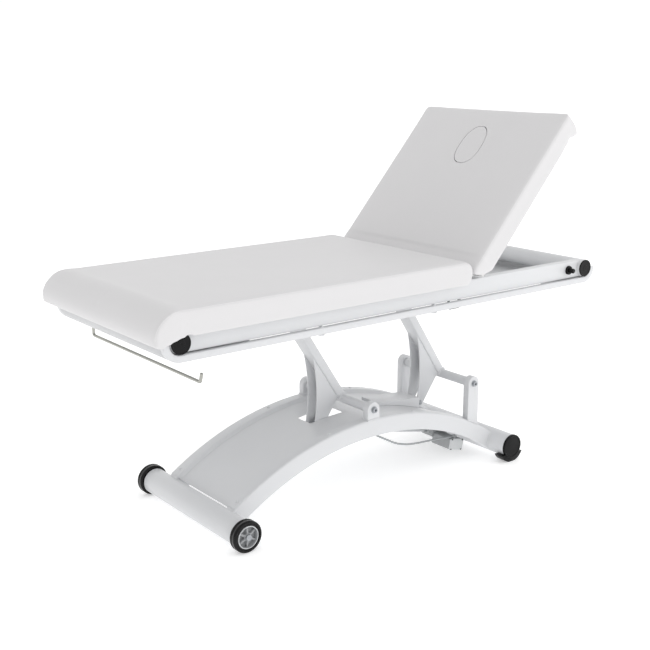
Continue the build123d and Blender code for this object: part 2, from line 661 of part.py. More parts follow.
def actuator_housing():
    gear = block(22, 98, -GEAR_HALF, GEAR_HALF, -30, 24)
    gear = fillet(gear.edges().filter_by(Axis.Y), 8)
    eye = rod_y(0, 0, 13, -9.5, 9.5) + block(0, 24, -9.5, 9.5, -11, 11)
    eye -= rod_y(0, 0, 6 + RUN_GAP, -9.5, 9.5)
    nose_ring = rod_x(98, 112, ACT_TUBE_D / 2 + 5)
    body = gear + eye + nose_ring
    return placed(body - rod_x(90, 112, ACT_TUBE_D / 2))


def actuator_tube():
    tube = rod_x(90, ACT_TUBE_END, ACT_TUBE_D / 2) - rod_x(96, ACT_TUBE_END + 1, ACT_TUBE_D / 2 - 2.5)
    end = rod_x(ACT_TUBE_END - 14, ACT_TUBE_END, ACT_TUBE_D / 2)
    return placed(tube + end - rod_x(ACT_TUBE_END - 20, ACT_TUBE_END + 1, ACT_ROD_D / 2 + RUN_GAP))


def actuator_motor():
    motor = block(27, 93, GEAR_HALF, MOTOR_END, MOTOR_LOW, MOTOR_TOP)
    motor = fillet(motor.edges().filter_by(Axis.Y), 5)
    gland = block(60, GLAND_X, MOTOR_END - 16, MOTOR_END - 2, MOTOR_TOP, MOTOR_TOP + 12)
    return placed(motor + gland)


def motor_end_cover():
    plate = block(26, 94, MOTOR_END, MOTOR_END + 3, MOTOR_LOW - 1, MOTOR_TOP + 1)
    plate = fillet(plate.edges().filter_by(Axis.Y), 5)
    for x in (33, 87):
        for z in (MOTOR_LOW + 6, MOTOR_TOP - 6):
            plate += rod_y(x, z, 3.2, MOTOR_END + 3, MOTOR_END + 5)
    return placed(plate)


def actuator_rod():
    rod = rod_x(ACT_TUBE_END - 130, ACT_LENGTH - 12, ACT_ROD_D / 2)
    eye = rod_y(ACT_LENGTH, 0, 17, -10, 10)
    eye -= rod_y(ACT_LENGTH, 0, PIN_D / 2 + ROD_EYE_GAP, -10, 10)
    return placed(rod + eye)


ROD_EYE_GAP = 4.0


# ---- base ----
def arch_point(radius, x):
    return (x, ARCH_Z + (radius * radius - (x - ARCH_X) ** 2) ** 0.5)


def arch_band(inner, outer, x0, x1):
    """Face of the band between two radii of the arch, from x0 to x1."""
    a, b = arch_point(outer, x0), arch_point(outer, x1)
    c, d = arch_point(inner, x1), arch_point(inner, x0)
    return side_face(ThreePointArc(a, arch_point(outer, ARCH_X), b), Line(b, c),
                     ThreePointArc(c, arch_point(inner, ARCH_X), d), Line(d, a))


def base_rail(side):
    """Rolled box rail of the arch, coped onto the two base tubes."""
    y0, y1 = side * BASE_RAIL_IN, side * BASE_RAIL_OUT
    wall = BASE_RAIL_WALL
    x0, x1 = WHEEL_X + COPE_WHEEL, BASE_FOOT_X - COPE_FOOT
    rail = slab(arch_band(RAIL_R - BASE_RAIL_H, RAIL_R, x0, x1), y0, y1)
    rail -= slab(arch_band(RAIL_R - BASE_RAIL_H + wall, RAIL_R - wall, x0, x1),
                 side * (BASE_RAIL_IN + wall), side * (BASE_RAIL_OUT - wall))
    rail -= rod_y(WHEEL_X, WHEEL_R, BASE_TUBE_D / 2 + RUN_GAP, -260, 260)
    return rail - rod_y(BASE_FOOT_X, BASE_FOOT_Z, BASE_TUBE_D / 2 + RUN_GAP, -260, 260)


def base_wheel_tube():
    """Round tube across the wheel end, closed by plates that carry the axle bolts."""
    half = WHEEL_OUT - WHEEL_W - 4
    tube = rod_y(WHEEL_X, WHEEL_R, BASE_TUBE_D / 2, -half, half)
    tube -= rod_y(WHEEL_X, WHEEL_R, BASE_TUBE_D / 2 - BASE_TUBE_WALL, -half + 8, half - 8)
    return tube - rod_y(WHEEL_X, WHEEL_R, 6, -half - 1, half + 1)


def base_foot_tube():
    half = BASE_FOOT_HALF
    tube = rod_y(BASE_FOOT_X, BASE_FOOT_Z, BASE_TUBE_D / 2, -half, half)
    return tube - rod_y(BASE_FOOT_X, BASE_FOOT_Z, BASE_TUBE_D / 2 - BASE_TUBE_WALL, -half, half)


def base_feet():
    """Moulded end caps, each with a saddle foot under the tube."""
    half = BASE_FOOT_HALF
    radius = BASE_FOOT_Z + 1.5
    cap = rod_y(BASE_FOOT_X, BASE_FOOT_Z, BASE_TUBE_D / 2 + 1, half, half + 7)
    cap = fillet(cap.edges().sort_by(Axis.Y)[-1], 3)
    cap += rod_y(BASE_FOOT_X, BASE_FOOT_Z, BASE_TUBE_D / 2 - BASE_TUBE_WALL - RUN_GAP, half - 15, half)
    saddle = rod_y(BASE_FOOT_X, BASE_FOOT_Z, radius, half - 30, half + 7)
    saddle -= block(BASE_FOOT_X - 70, BASE_FOOT_X + 70, 0, half + 20, 30, 200)
    saddle -= block(BASE_FOOT_X - 70, BASE_FOOT_X + 70, 0, half + 20, -20, 0)
    saddle -= rod_y(BASE_FOOT_X, BASE_FOOT_Z, BASE_TUBE_D / 2 + RUN_GAP, 0, half)
    return mirrored(cap + saddle)


def panel_section(thickness):
    """Cross-section of the pressed cover panel at the top of the arch, drawn as (y, z)."""
    flange = BASE_RAIL_OUT - 2
    outer = [(-flange, 0), (-BASE_RAIL_IN, 0), (-BASE_RAIL_IN + 8, -PANEL_RECESS),
             (BASE_RAIL_IN - 8, -PANEL_RECESS), (BASE_RAIL_IN, 0), (flange, 0)]
    inner = [(y, z - thickness) for y, z in outer]
    return outer + inner[::-1]


def cover_panel():
    """Sheet pressed between the rails, with two slots for the levers and the tie bars."""
    top = ARCH_Z + ARCH_R
    points = [(ARCH_X, y, top + z) for y, z in panel_section(PANEL_T)]
    face = make_face(Polyline(*points, close=True))
    axis = Axis((ARCH_X, 0, ARCH_Z), (0, 1, 0))
    reach_foot = degrees(asin((ARCH_X - WHEEL_X - 22) / ARCH_R))
    reach_head = degrees(asin((BASE_FOOT_X - ARCH_X - 24) / ARCH_R))
    panel = revolve(face.rotate(axis, -reach_foot), axis, revolution_arc=reach_foot + reach_head)
    half = LEVER_OUT + 10
    for x0, x1 in ((FOOT_PIVOT_X - 145, FOOT_PIVOT_X - 8), (HOOD_X0 + 60, HEAD_PIVOT_X - 8)):
        panel -= block(x0, x1, -half, half, 0, 400)
    return panel


HOOD_X0 = 128.5
HOOD_X1 = 324.0
HOOD_Z0 = 253.5
HOOD_Z1 = 234.5
HOOD_HALF = 45.0
HOOD_T = 2.0


def link_hood():
    """Box-shaped hood welded on the panel over the end of the tie bars."""
    floor = ARCH_R - PANEL_RECESS
    outer = side_polygon((HOOD_X0, 150), (HOOD_X0, HOOD_Z0), (HOOD_X1, HOOD_Z1), (HOOD_X1, 150))
    hood = slab(outer, -HOOD_HALF, HOOD_HALF)
    inner = side_polygon((HOOD_X0 - 5, 140), (HOOD_X0 - 5, HOOD_Z0 - HOOD_T), (HOOD_X1 + 5, HOOD_Z1 - HOOD_T - 1),
                         (HOOD_X1 + 5, 140))
    hood -= slab(inner, -HOOD_HALF + HOOD_T, HOOD_HALF - HOOD_T)
    hood -= rod_y(ARCH_X, ARCH_Z, floor, -60, 60)
    return hood - rod_y(HEAD_PIVOT_X + LEVER_DX, TIP_Z, TIP_R + 6, -60, 60)


def panel_screws():
    """Pan-head screws that hold the panel's flanges on the rails."""
    screws = []
    for angle in (-32, -10.3, 10.3, 31.5):
        turned = Pos(ARCH_X, 0, ARCH_Z) * Rot(0, angle, 0)
        head = rod_z(0, (BASE_RAIL_IN + BASE_RAIL_OUT) / 2, 5.5, ARCH_R, ARCH_R + 3)
        head = fillet(head.edges().sort_by(Axis.Z)[-1], 1.5)
        screws += mirrored(turned * head)
    return screws


def bracket(x):
    """Round-topped hollow bracket on the rail that holds an arm's pivot bolt."""
    upright = block(x - BRACKET_W / 2, x + BRACKET_W / 2, BRACKET_IN, BASE_RAIL_OUT, 100, PIVOT_Z)
    upright += rod_y(x, PIVOT_Z, BRACKET_W / 2, BRACKET_IN, BASE_RAIL_OUT)
    wall = 3.0
    hollow = block(x - BRACKET_W / 2 + wall, x + BRACKET_W / 2 - wall, BRACKET_IN + wall, BASE_RAIL_OUT - wall,
                   90, PIVOT_Z - 14)
    upright -= hollow
    upright -= rod_y(x, PIVOT_Z, BOLT_D / 2, BRACKET_IN, BASE_RAIL_OUT)
    return mirrored(upright - rod_y(ARCH_X, ARCH_Z, ARCH_R, 0, 300))


def pivot_bolts():
    bolts = []
    for x in (FOOT_PIVOT_X, HEAD_PIVOT_X):
        shank = rod_y(x, PIVOT_Z, BOLT_D / 2, BRACKET_IN - 40, BASE_RAIL_OUT)
        washer = rod_y(x, PIVOT_Z, 13.5, BASE_RAIL_OUT, BASE_RAIL_OUT + 2)
        head = hexagon_y(x, PIVOT_Z, 21, BASE_RAIL_OUT + 2, BASE_RAIL_OUT + 11)
        bolts += mirrored(shank + washer + head)
    return bolts


def actuator_clevis():
    """Two ears on the foot-end base tube, joined by a web."""
    ears = []
    for way in SIDES:
        y0, y1 = way * 10, way * 16
        ear = side_polygon((REAR_PIN_X, REAR_PIN_Z - 14), (REAR_PIN_X, REAR_PIN_Z + 14),
                           (BASE_FOOT_X - 20, REAR_PIN_Z + 4), (BASE_FOOT_X - 20, REAR_PIN_Z - 34))
        ear = slab(ear, y0, y1) + rod_y(REAR_PIN_X, REAR_PIN_Z, 14, y0, y1)
        ears.append(ear - rod_y(REAR_PIN_X, REAR_PIN_Z, 6, y0, y1))
    web = block(BASE_FOOT_X - 52, BASE_FOOT_X - 20, -10, 10, REAR_PIN_Z - 20, REAR_PIN_Z + 4)
    clevis = ears[0] + ears[1] + web
    return clevis - rod_y(BASE_FOOT_X, BASE_FOOT_Z, BASE_TUBE_D / 2 + RUN_GAP, -20, 20)


def actuator_rear_pin():
    pin = rod_y(REAR_PIN_X, REAR_PIN_Z, 6, -16, 16)
    return pin + rod_y(REAR_PIN_X, REAR_PIN_Z, 9, 16, 20) + rod_y(REAR_PIN_X, REAR_PIN_Z, 9, -20, -16)


BOX_X0 = -165.0
BOX_X1 = -12.0
BOX_Y = -75.0


def control_box():
    """Power supply of the lift, fixed to the inner face of the right-hand rail."""
    box = block(BOX_X0, BOX_X1, -BASE_RAIL_IN, BOX_Y, 186, 232)
    box = fillet(box.edges().filter_by(Axis.X), 4)
    gland = rod_x(BOX_X1, BOX_X1 + 12, 7, CABLE_Y, 199)
    inlet = block(BOX_X0 - 12, BOX_X0, -125, -97, 198, 218)
    inlet -= block(BOX_X0 - 13, BOX_X0 - 4, -122, -100, 201, 215)
    return box + gland + inlet


CABLE_Y = -110.0
CABLE_GAP = 1.3          # room for the motor to tilt past the cable's end


def cable_points():
    """Route of the actuator cable, from the control box to the motor, as (x, y, z)."""
    tilt = radians(ACT_ANGLE)
    end_x = REAR_PIN_X - GLAND_X * cos(tilt) + (MOTOR_TOP + 6) * sin(tilt) - CABLE_GAP
    end_z = REAR_PIN_Z + GLAND_X * sin(tilt) + (MOTOR_TOP + 6) * cos(tilt)
    return [(BOX_X1 + 12, CABLE_Y, 199), (24, CABLE_Y, 199), (64, CABLE_Y - 1, 168), (104, CABLE_Y - 3, 146),
            (152, CABLE_Y - 4, 119), (206, CABLE_Y - 4, 103), (262, CABLE_Y - 3, 96.5), (318, CABLE_Y - 1, 92),
            (372, CABLE_Y, 87), (end_x - 30, CABLE_Y, end_z + 3), (end_x, CABLE_Y, end_z)]


def actuator_cable():
    points = [Vector(*p) for p in cable_points()]
    radii = []
    for before, at, after in zip(points, points[1:], points[2:]):
        turn = radians((at - before).get_angle(after - at))
        shorter = min((at - before).length, (after - at).length)
        radii.append(0.45 * shorter / (sin(turn / 2) / cos(turn / 2)))
    print("cable radii", [round(r) for r in radii])
    path = FilletPolyline(*points, radius=radii)
    cable = sweep(Plane(origin=path @ 0, z_dir=path % 0) * Circle(CABLE_D / 2), path)
    print("cable length", round(path.length, 1), "volume check", round(cable.volume / (path.length * 38.485), 4))
    return cable


# ---- wheels ----
HUB_R = 36.0


def wheel_tyre(side):
    y0 = WHEEL_OUT - WHEEL_W
    tyre = rod_y(WHEEL_X, WHEEL_R, WHEEL_R, y0, WHEEL_OUT)
    tyre = fillet(tyre.edges(), 6)
    tyre -= rod_y(WHEEL_X, WHEEL_R, HUB_R, y0 - 1, WHEEL_OUT + 1)
    return mirrored(tyre)[0 if side > 0 else 1]


def wheel_hub(side):
    """Hub with a rim, six spokes and a boss that runs on the axle bolt."""
    y0 = WHEEL_OUT - WHEEL_W
    rim = rod_y(WHEEL_X, WHEEL_R, HUB_R, y0 + 1, WHEEL_OUT - 1)
    rim -= rod_y(WHEEL_X, WHEEL_R, HUB_R - 4, y0 + 1, WHEEL_OUT - 1)
    hub = rim + rod_y(WHEEL_X, WHEEL_R, 12, y0, WHEEL_OUT - 2)
    hub += rod_y(WHEEL_X, WHEEL_R, HUB_R - 2, y0 + 11, y0 + 14)
    for i in range(6):
        spoke = block(8, HUB_R - 2, y0 + 5, WHEEL_OUT - 5, -2.5, 2.5)
        hub += Pos(WHEEL_X, 0, WHEEL_R) * Rot(0, 60 * i + 30, 0) * spoke
    hub -= rod_y(WHEEL_X, WHEEL_R, 6 + RUN_GAP, y0 - 1, WHEEL_OUT)
    return mirrored(hub)[0 if side > 0 else 1]


def axle_bolts():
    end = WHEEL_OUT - 2 + 0.5
    bolt = rod_y(WHEEL_X, WHEEL_R, 6, WHEEL_OUT - WHEEL_W - 30, end)
    bolt += rod_y(WHEEL_X, WHEEL_R, 10, WHEEL_OUT - WHEEL_W - 4, WHEEL_OUT - WHEEL_W - 0.5)
    bolt += hexagon_y(WHEEL_X, WHEEL_R, 18, end, end + 5)
    return mirrored(bolt)


# ---- every node, by name ----
PIECES = {
    "side_rail_right": side_rail(-1),
    "side_rail_left": side_rail(1),
    "edge_strip_right": edge_strip(-1),
    "edge_strip_left": edge_strip(1),
    "foot_tube": cross_tube(FOOT_X),
    "head_tube": cross_tube(HEAD_X),
    "tube_plugs": tube_plugs(),
    "foot_apron": apron(FOOT_X, -1, FOOT_APRON_REACH),
    "head_apron": head_apron(),
    "strip_screws": strip_screws(),
    "lift_crossbars": lift_crossbar(FOOT_PIVOT_X + UPPER_DX) + lift_crossbar(HEAD_PIVOT_X + UPPER_DX),
    "gas_crossbar": gas_crossbar(),
    "pivot_pins": pivot_pins(),
    "frame_lugs": frame_lugs(),
    "rest_bumpers": rest_bumpers(),
    "seat_board": seat_board(),
    "seat_cushion": seat_cushion(),
    "paper_bar": paper_bar(),
    "knob_flange": knob_flange(),
    "clamp_knob": clamp_knob(),
    "release_lever": release_lever(),
    "backrest_frame": backrest_frame(),
    "backrest_cross_tubes": backrest_cross_tubes(),
    "backrest_board": backrest_board(),
    "backrest_cushion": backrest_cushion(),
    "face_plug": face_plug(),
    "gas_cylinder": gas_cylinder(),
    "gas_rod": gas_rod(),
    "foot_arm": arm_tube(FOOT_PIVOT_X, RUN_GAP),
    "foot_arm_levers": lever_pair(FOOT_PIVOT_X),
    "foot_lever_pin": lever_pin(FOOT_PIVOT_X),
    "head_arm": arm_tube(HEAD_PIVOT_X, OPEN_GAP),
    "head_arm_levers": lever_pair(HEAD_PIVOT_X),
    "head_lever_pin": lever_pin(HEAD_PIVOT_X),
    "tie_bars": tie_bars(),
    "actuator_housing": actuator_housing(),
    "actuator_tube": actuator_tube(),
    "actuator_motor": actuator_motor(),
    "motor_end_cover": motor_end_cover(),
    "actuator_rod": actuator_rod(),
    "base_rail_right": base_rail(-1),
    "base_rail_left": base_rail(1),
    "base_wheel_tube": base_wheel_tube(),
    "base_foot_tube": base_foot_tube(),
    "base_feet": base_feet(),
    "cover_panel": cover_panel(),
    "link_hood": link_hood(),
    "panel_screws": panel_screws(),
    "short_brackets": bracket(FOOT_PIVOT_X),
    "tall_brackets": bracket(HEAD_PIVOT_X),
    "pivot_bolts": pivot_bolts(),
    "actuator_clevis": actuator_clevis(),
    "actuator_rear_pin": actuator_rear_pin(),
    "control_box": control_box(),
    "actuator_cable": actuator_cable(),
    "wheel_tyre_right": wheel_tyre(-1),
    "wheel_tyre_left": wheel_tyre(1),
    "wheel_hub_right": wheel_hub(-1),
    "wheel_hub_left": wheel_hub(1),
    "axle_bolts": axle_bolts(),
}

os.makedirs("parts", exist_ok=True)
for name, piece in PIECES.items():
    solids = piece if isinstance(piece, list) else [piece]
    loose = [solid for shape in solids for solid in shape.solids()]
    whole = loose[0] if len(loose) == 1 else Compound(children=loose)
    export_step(whole, os.path.join("parts", name + ".step"))
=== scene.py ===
"""Looks of a facial treatment bed: upholstery, coated frame, wheels and small parts."""
import json
import math

import bpy
from bpy.props import FloatProperty, FloatVectorProperty, PointerProperty
from mathutils import Matrix, Vector, noise


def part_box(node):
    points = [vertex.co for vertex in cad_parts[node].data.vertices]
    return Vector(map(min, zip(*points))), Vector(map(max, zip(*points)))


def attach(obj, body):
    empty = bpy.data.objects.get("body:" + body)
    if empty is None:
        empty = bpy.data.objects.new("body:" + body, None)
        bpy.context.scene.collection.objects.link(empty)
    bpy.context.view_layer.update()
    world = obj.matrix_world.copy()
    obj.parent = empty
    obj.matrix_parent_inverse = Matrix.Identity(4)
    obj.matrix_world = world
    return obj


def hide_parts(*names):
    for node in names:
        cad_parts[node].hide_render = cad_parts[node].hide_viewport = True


bl_info = {
    "name": "Facial treatment bed",
    "version": (1, 0, 0),
    "blender": (4, 5, 0),
    "location": "View3D > Sidebar > Treatment Bed",
    "description": "Upholstery, coated frame, wheels and small parts of a facial treatment bed",
    "category": "Object",
}

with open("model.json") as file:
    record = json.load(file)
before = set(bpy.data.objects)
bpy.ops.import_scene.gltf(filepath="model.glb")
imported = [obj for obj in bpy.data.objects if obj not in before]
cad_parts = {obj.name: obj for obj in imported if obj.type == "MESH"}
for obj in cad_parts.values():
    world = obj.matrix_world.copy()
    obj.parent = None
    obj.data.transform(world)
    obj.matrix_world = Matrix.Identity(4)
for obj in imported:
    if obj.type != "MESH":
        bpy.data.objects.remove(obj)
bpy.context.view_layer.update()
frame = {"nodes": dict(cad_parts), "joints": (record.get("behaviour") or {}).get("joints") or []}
NODES = frame["nodes"]
MATERIALS = {}
MM = 0.001


def linear(hex_colour):
    """sRGB hex value as linear red, green and blue."""
    values = [int(hex_colour[i:i + 2], 16) / 255 for i in (1, 3, 5)]
    return tuple(v / 12.92 if v <= 0.04045 else ((v + 0.055) / 1.055) ** 2.4 for v in values)


def joint(name):
    return next(j for j in frame["joints"] if j["name"] == name)


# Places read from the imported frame, then the arch, arms and camera in metres and degrees.
HINGE = Vector(joint("backrest_tilt")["pos_m"])
BACK_ANGLE = math.radians(-joint("backrest_tilt")["range_deg"][0])
RAISE = Matrix.Translation(HINGE) @ Matrix.Rotation(-BACK_ANGLE, 4, "Y") @ Matrix.Translation(-HINGE)
LOWER = RAISE.inverted()
ARM_PIVOTS = [Vector(joint(n)["pos_m"]) for n in ("lift", "head_arm_pivot")]
WHEEL = Vector(joint("wheel_spin_right")["pos_m"])
FOOT_TUBE = sum(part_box("foot_tube"), Vector()) / 2
HEAD_TUBE = sum(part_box("head_tube"), Vector()) / 2
BASE_FOOT = sum(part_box("base_foot_tube"), Vector()) / 2
KNOB = sum(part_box("knob_flange"), Vector()) / 2
ARCH = Vector((-0.0055, 0.0, -0.750))
ARCH_OUTER = 1.0115
ARCH_INNER = 0.953
ARCH_HALF_SWEEP = 35.2
ARM_RUN, ARM_RISE = 0.24285, 0.36691
ARM_LONG = 0.440
ACTUATOR_TILT = 12.3
SCREWS_ALONG_ARCH = (-32, -10.3, 10.3, 31.5)
CAMERA_PLACE = (-2.1975, -2.7035, 1.428)
CAMERA_PITCH, CAMERA_YAW = -14.25, 38.19
CAMERA_LENS, CAMERA_SENSOR = 59.34, 36.0


class BedSizes(bpy.types.PropertyGroup):
    """Sizes a user may change."""
    swell: FloatProperty(name="Cushion swell", description="Most that the stuffing may push the cover out",
                         default=4 * MM, unit="LENGTH")
    tube_corner: FloatProperty(name="Tube corner", description="Outer corner radius of the box tubes",
                               default=4 * MM, unit="LENGTH")
    seam: FloatProperty(name="Seam inset", default=9 * MM, unit="LENGTH",
                        description="How far in and down from its shoulder a cushion's seam is aimed")
    weld: FloatProperty(name="Weld bead", description="Radius of the weld beads",
                        default=2.6 * MM, unit="LENGTH")


class BedColours(bpy.types.PropertyGroup):
    """Colours a user may change."""
    cover: FloatVectorProperty(name="Cushion cover", description="Colour of the synthetic leather",
                               default=linear("#DCDBDC"), subtype="COLOR", size=3)
    coat: FloatVectorProperty(name="Frame coat", description="Colour of the powder coat",
                              default=linear("#D9DADC"), subtype="COLOR", size=3)
    moulding: FloatVectorProperty(name="Black mouldings", description="Colour of caps, feet and button",
                                  default=linear("#0E0E0F"), subtype="COLOR", size=3)


# ---- materials ----
def add(tree, kind, settings=None, inputs=None):
    """Adds a node, sets it, and fills its inputs with values or links."""
    made = tree.nodes.new(kind)
    for key, value in (settings or {}).items():
        setattr(made, key, value)
    for key, value in (inputs or {}).items():
        if isinstance(value, bpy.types.NodeSocket):
            tree.links.new(value, made.inputs[key])
        else:
            made.inputs[key].default_value = value
    return made


def surface(name, colour, roughness, metallic=0.0, grain_mm=1.0, grain_depth=0.02, stretch=(1, 1, 1),
            tone=0.04, tone_mm=60.0, spread=0.06, cells=False, fixed=None):
    """A finish: base colour with slow tone changes, uneven gloss and a raised grain of a real size."""
    material = bpy.data.materials.new(name)
    material.use_nodes = True
    tree = material.node_tree
    shader = tree.nodes["Principled BSDF"]
    shader.inputs["Metallic"].default_value = metallic
    for key, value in (fixed or {}).items():
        shader.inputs[key].default_value = value
    place = add(tree, "ShaderNodeTexCoord").outputs["Object"]
    drawn = add(tree, "ShaderNodeMapping", {}, {"Vector": place, "Scale": stretch}).outputs["Vector"]
    slow = add(tree, "ShaderNodeTexNoise", {}, {"Vector": place, "Scale": 1000 / tone_mm, "Detail": 3.0})
    mix = add(tree, "ShaderNodeMix", {"data_type": "RGBA"}, {0: slow.outputs["Fac"]})
    mix.inputs[6].default_value = (*[c * (1 - tone) for c in colour], 1)
    mix.inputs[7].default_value = (*[min(1.0, c * (1 + tone)) for c in colour], 1)
    tree.links.new(mix.outputs[2], shader.inputs["Base Color"])
    patch = add(tree, "ShaderNodeTexNoise", {}, {"Vector": drawn, "Scale": 1000 / (tone_mm * 0.4),
                                                 "Detail": 4.0})
    gloss = add(tree, "ShaderNodeMapRange", {}, {"Value": patch.outputs["Fac"], "To Min": roughness - spread,
                                                 "To Max": roughness + spread})
    tree.links.new(gloss.outputs["Result"], shader.inputs["Roughness"])
    if cells:
        grain = add(tree, "ShaderNodeTexVoronoi", {"feature": "SMOOTH_F1"},
                    {"Vector": drawn, "Scale": 1000 / grain_mm, "Smoothness": 0.7}).outputs["Distance"]
    else:
        grain = add(tree, "ShaderNodeTexNoise", {}, {"Vector": drawn, "Scale": 1000 / grain_mm,
                                                     "Detail": 2.0}).outputs["Fac"]
    bump = add(tree, "ShaderNodeBump", {}, {"Height": grain, "Distance": grain_depth * MM, "Strength": 1.0})
    tree.links.new(bump.outputs["Normal"], shader.inputs["Normal"])
    return material


def make_materials(colours):
    """Every finish of the bed, by name."""
    m = {}
    # Polyurethane leather on foam: a fine embossed pebble, a soft satin gloss and a faint sheen.
    m["cover"] = surface("polyurethane_leather", colours.cover, 0.47, grain_mm=2.2, grain_depth=0.10,
                         tone=0.012, tone_mm=140, spread=0.05, cells=True,
                         fixed={"IOR": 1.48, "Sheen Weight": 0.12, "Sheen Roughness": 0.5})
    # Seam of polyester thread: a matt cord, a little lighter than the cover as a painted highlight along the
    # cushion shoulder where the seam runs.
    m["thread"] = surface("polyester_seam_painted_highlight", tuple(min(1.0, c * 1.08) for c in colours.cover), 0.6,
                          grain_mm=1.2, grain_depth=0.15, tone=0.05, tone_mm=4)
    # Epoxy powder coat on welded tube: an even satin film with a slight orange peel about 3 mm across.
    m["coat"] = surface("epoxy_powder_coat", colours.coat, 0.36, grain_mm=3.0, grain_depth=0.03, tone=0.010,
                        tone_mm=180, spread=0.04,
                        fixed={"IOR": 1.5, "Coat Weight": 0.15, "Coat Roughness": 0.25})
    # The same powder on thin sheet, darkened to 0.8 of the frame coat as painted shade, because the aprons
    # sit in shadow under the cushion ends.
    m["apron"] = surface("epoxy_powder_coat_painted_shade", tuple(c * 0.80 for c in colours.coat), 0.40, grain_mm=3.0,
                         grain_depth=0.03, tone=0.012, tone_mm=120, spread=0.04, fixed={"IOR": 1.5})
    # Injection-moulded polypropylene with a spark-eroded surface: black, with a dull broken gloss.
    m["moulding"] = surface("moulded_polypropylene", colours.moulding, 0.34, grain_mm=1.4, grain_depth=0.05,
                            tone=0.12, tone_mm=12, spread=0.06,
                            fixed={"IOR": 1.45, "Specular IOR Level": 0.22})
    # Cast polyurethane tread: the deepest black, smooth enough to show small sharp highlights.
    m["tyre"] = surface("polyurethane_tyre", linear("#060607"), 0.20, grain_mm=5.0, grain_depth=0.03,
                        tone=0.2, tone_mm=15, spread=0.06, fixed={"IOR": 1.5, "Specular IOR Level": 0.25})
    # Moulded nylon hub with a plated ring round it: satin grey next to a bright thin line.
    m["hub"] = surface("moulded_nylon_hub", linear("#9C9EA0"), 0.38, grain_mm=1.5, grain_depth=0.03,
                       tone=0.05, tone_mm=14, spread=0.05, fixed={"IOR": 1.53})
    m["bright"] = surface("plated_trim_ring", linear("#D6D8DA"), 0.2, metallic=1.0, grain_mm=2.0,
                          grain_depth=0.01, tone=0.03, tone_mm=12, spread=0.04)
    # Zinc-plated steel: drawn lines along the bar and a cloudy, slightly blue passivation.
    m["zinc"] = surface("zinc_plated_steel", linear("#A9ACB0"), 0.34, metallic=1.0, grain_mm=1.2,
                        grain_depth=0.02, stretch=(0.08, 1, 1), tone=0.08, tone_mm=25, spread=0.08)
    # Black oxide on steel: a thin dark skin with the metal's sheen under it.
    m["black_steel"] = surface("black_oxide_steel", linear("#1E1E20"), 0.38, metallic=0.6, grain_mm=1.0,
                               grain_depth=0.02, tone=0.15, tone_mm=9, spread=0.08)
    # Stainless bar polished along its length: long faint lines and a clear reflection.
    m["stainless"] = surface("polished_stainless_bar", linear("#A9A9A3"), 0.20, metallic=1.0, grain_mm=0.9,
                             grain_depth=0.006, stretch=(1, 0.05, 1), tone=0.03, tone_mm=30, spread=0.04)
    # Anodised aluminium tube: drawn lines along the stroke and an even silver tone.
    m["aluminium"] = surface("anodised_aluminium", linear("#C4C6C8"), 0.3, metallic=1.0, grain_mm=0.8,
                             grain_depth=0.008, stretch=(0.05, 1, 1), tone=0.03, tone_mm=40, spread=0.05)
    # Glass-filled nylon housing: matt, with a coarse moulded grain.
    m["gearbox"] = surface("glass_filled_nylon", linear("#A9ABAC"), 0.5, grain_mm=1.2, grain_depth=0.06,
                           tone=0.06, tone_mm=14, spread=0.06, fixed={"IOR": 1.53})
    # Moulded ABS covers: paler and smoother than the housing.
    m["cover_plate"] = surface("moulded_abs_cover", linear("#D2D4D5"), 0.4, grain_mm=1.3, grain_depth=0.04,
                               tone=0.04, tone_mm=16, spread=0.05, fixed={"IOR": 1.54})
    # Plywood faced with white melamine: a hard even skin that shows the grain below it as faint long streaks.
    m["board"] = surface("melamine_faced_plywood", linear("#D4D4D3"), 0.45, grain_mm=6.0, grain_depth=0.03,
                         stretch=(0.05, 1, 1), tone=0.03, tone_mm=30, spread=0.06, fixed={"IOR": 1.5})
    # PVC jacket and moulded rubber: soft dull surfaces.
    m["cable"] = surface("pvc_cable_jacket", linear("#A6A9AB"), 0.45, grain_mm=2.0, grain_depth=0.03,
                         tone=0.06, tone_mm=20, fixed={"IOR": 1.52})
    m["rubber"] = surface("moulded_rubber", linear("#141414"), 0.6, grain_mm=1.5, grain_depth=0.04, tone=0.15,
                          tone_mm=10, fixed={"IOR": 1.5})
    return m


# ---- modelling helpers ----
def only(piece):
    """Leaves just this piece selected and active."""
    bpy.ops.object.select_all(action="DESELECT")
    piece.select_set(True)
    bpy.context.view_layer.objects.active = piece


def edit():
    """Opens the active piece for editing with all of it selected."""
    bpy.ops.object.mode_set(mode="EDIT")
    bpy.ops.mesh.select_mode(type="VERT")
    bpy.ops.mesh.select_all(action="SELECT")


def done():
    """Ends the editing."""
    bpy.ops.object.mode_set(mode="OBJECT")


def apply_modifiers(piece):
    only(piece)
    for modifier in list(piece.modifiers):
        bpy.ops.object.modifier_apply(modifier=modifier.name)


def smooth(piece, degrees=35):
    only(piece)
    if piece.data.has_custom_normals:
        bpy.ops.mesh.customdata_custom_splitnormals_clear()
    bpy.ops.object.shade_smooth_by_angle(angle=math.radians(degrees))


def outwards(piece):
    only(piece)
    edit()
    bpy.ops.mesh.remove_doubles(threshold=1e-6)
    bpy.ops.mesh.normals_make_consistent(inside=False)
    done()


def settle(piece, matrix=None):
    """Puts the piece's place into its mesh, so that its object sits at the origin, unturned."""
    if matrix is not None:
        piece.matrix_basis = matrix @ piece.matrix_basis
    only(piece)
    bpy.ops.object.transform_apply(location=True, rotation=True, scale=True)
    return piece


def belongs(piece, name, body, material, stands_for=()):
    """Names a finished piece, gives it its finish and its body, and hides the CAD parts it stands for."""
    piece.name = name
    piece.data.name = name
    piece.data.materials.clear()
    piece.data.materials.append(material)
    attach(piece, body)
    if stands_for:
        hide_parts(*stands_for)
    return piece


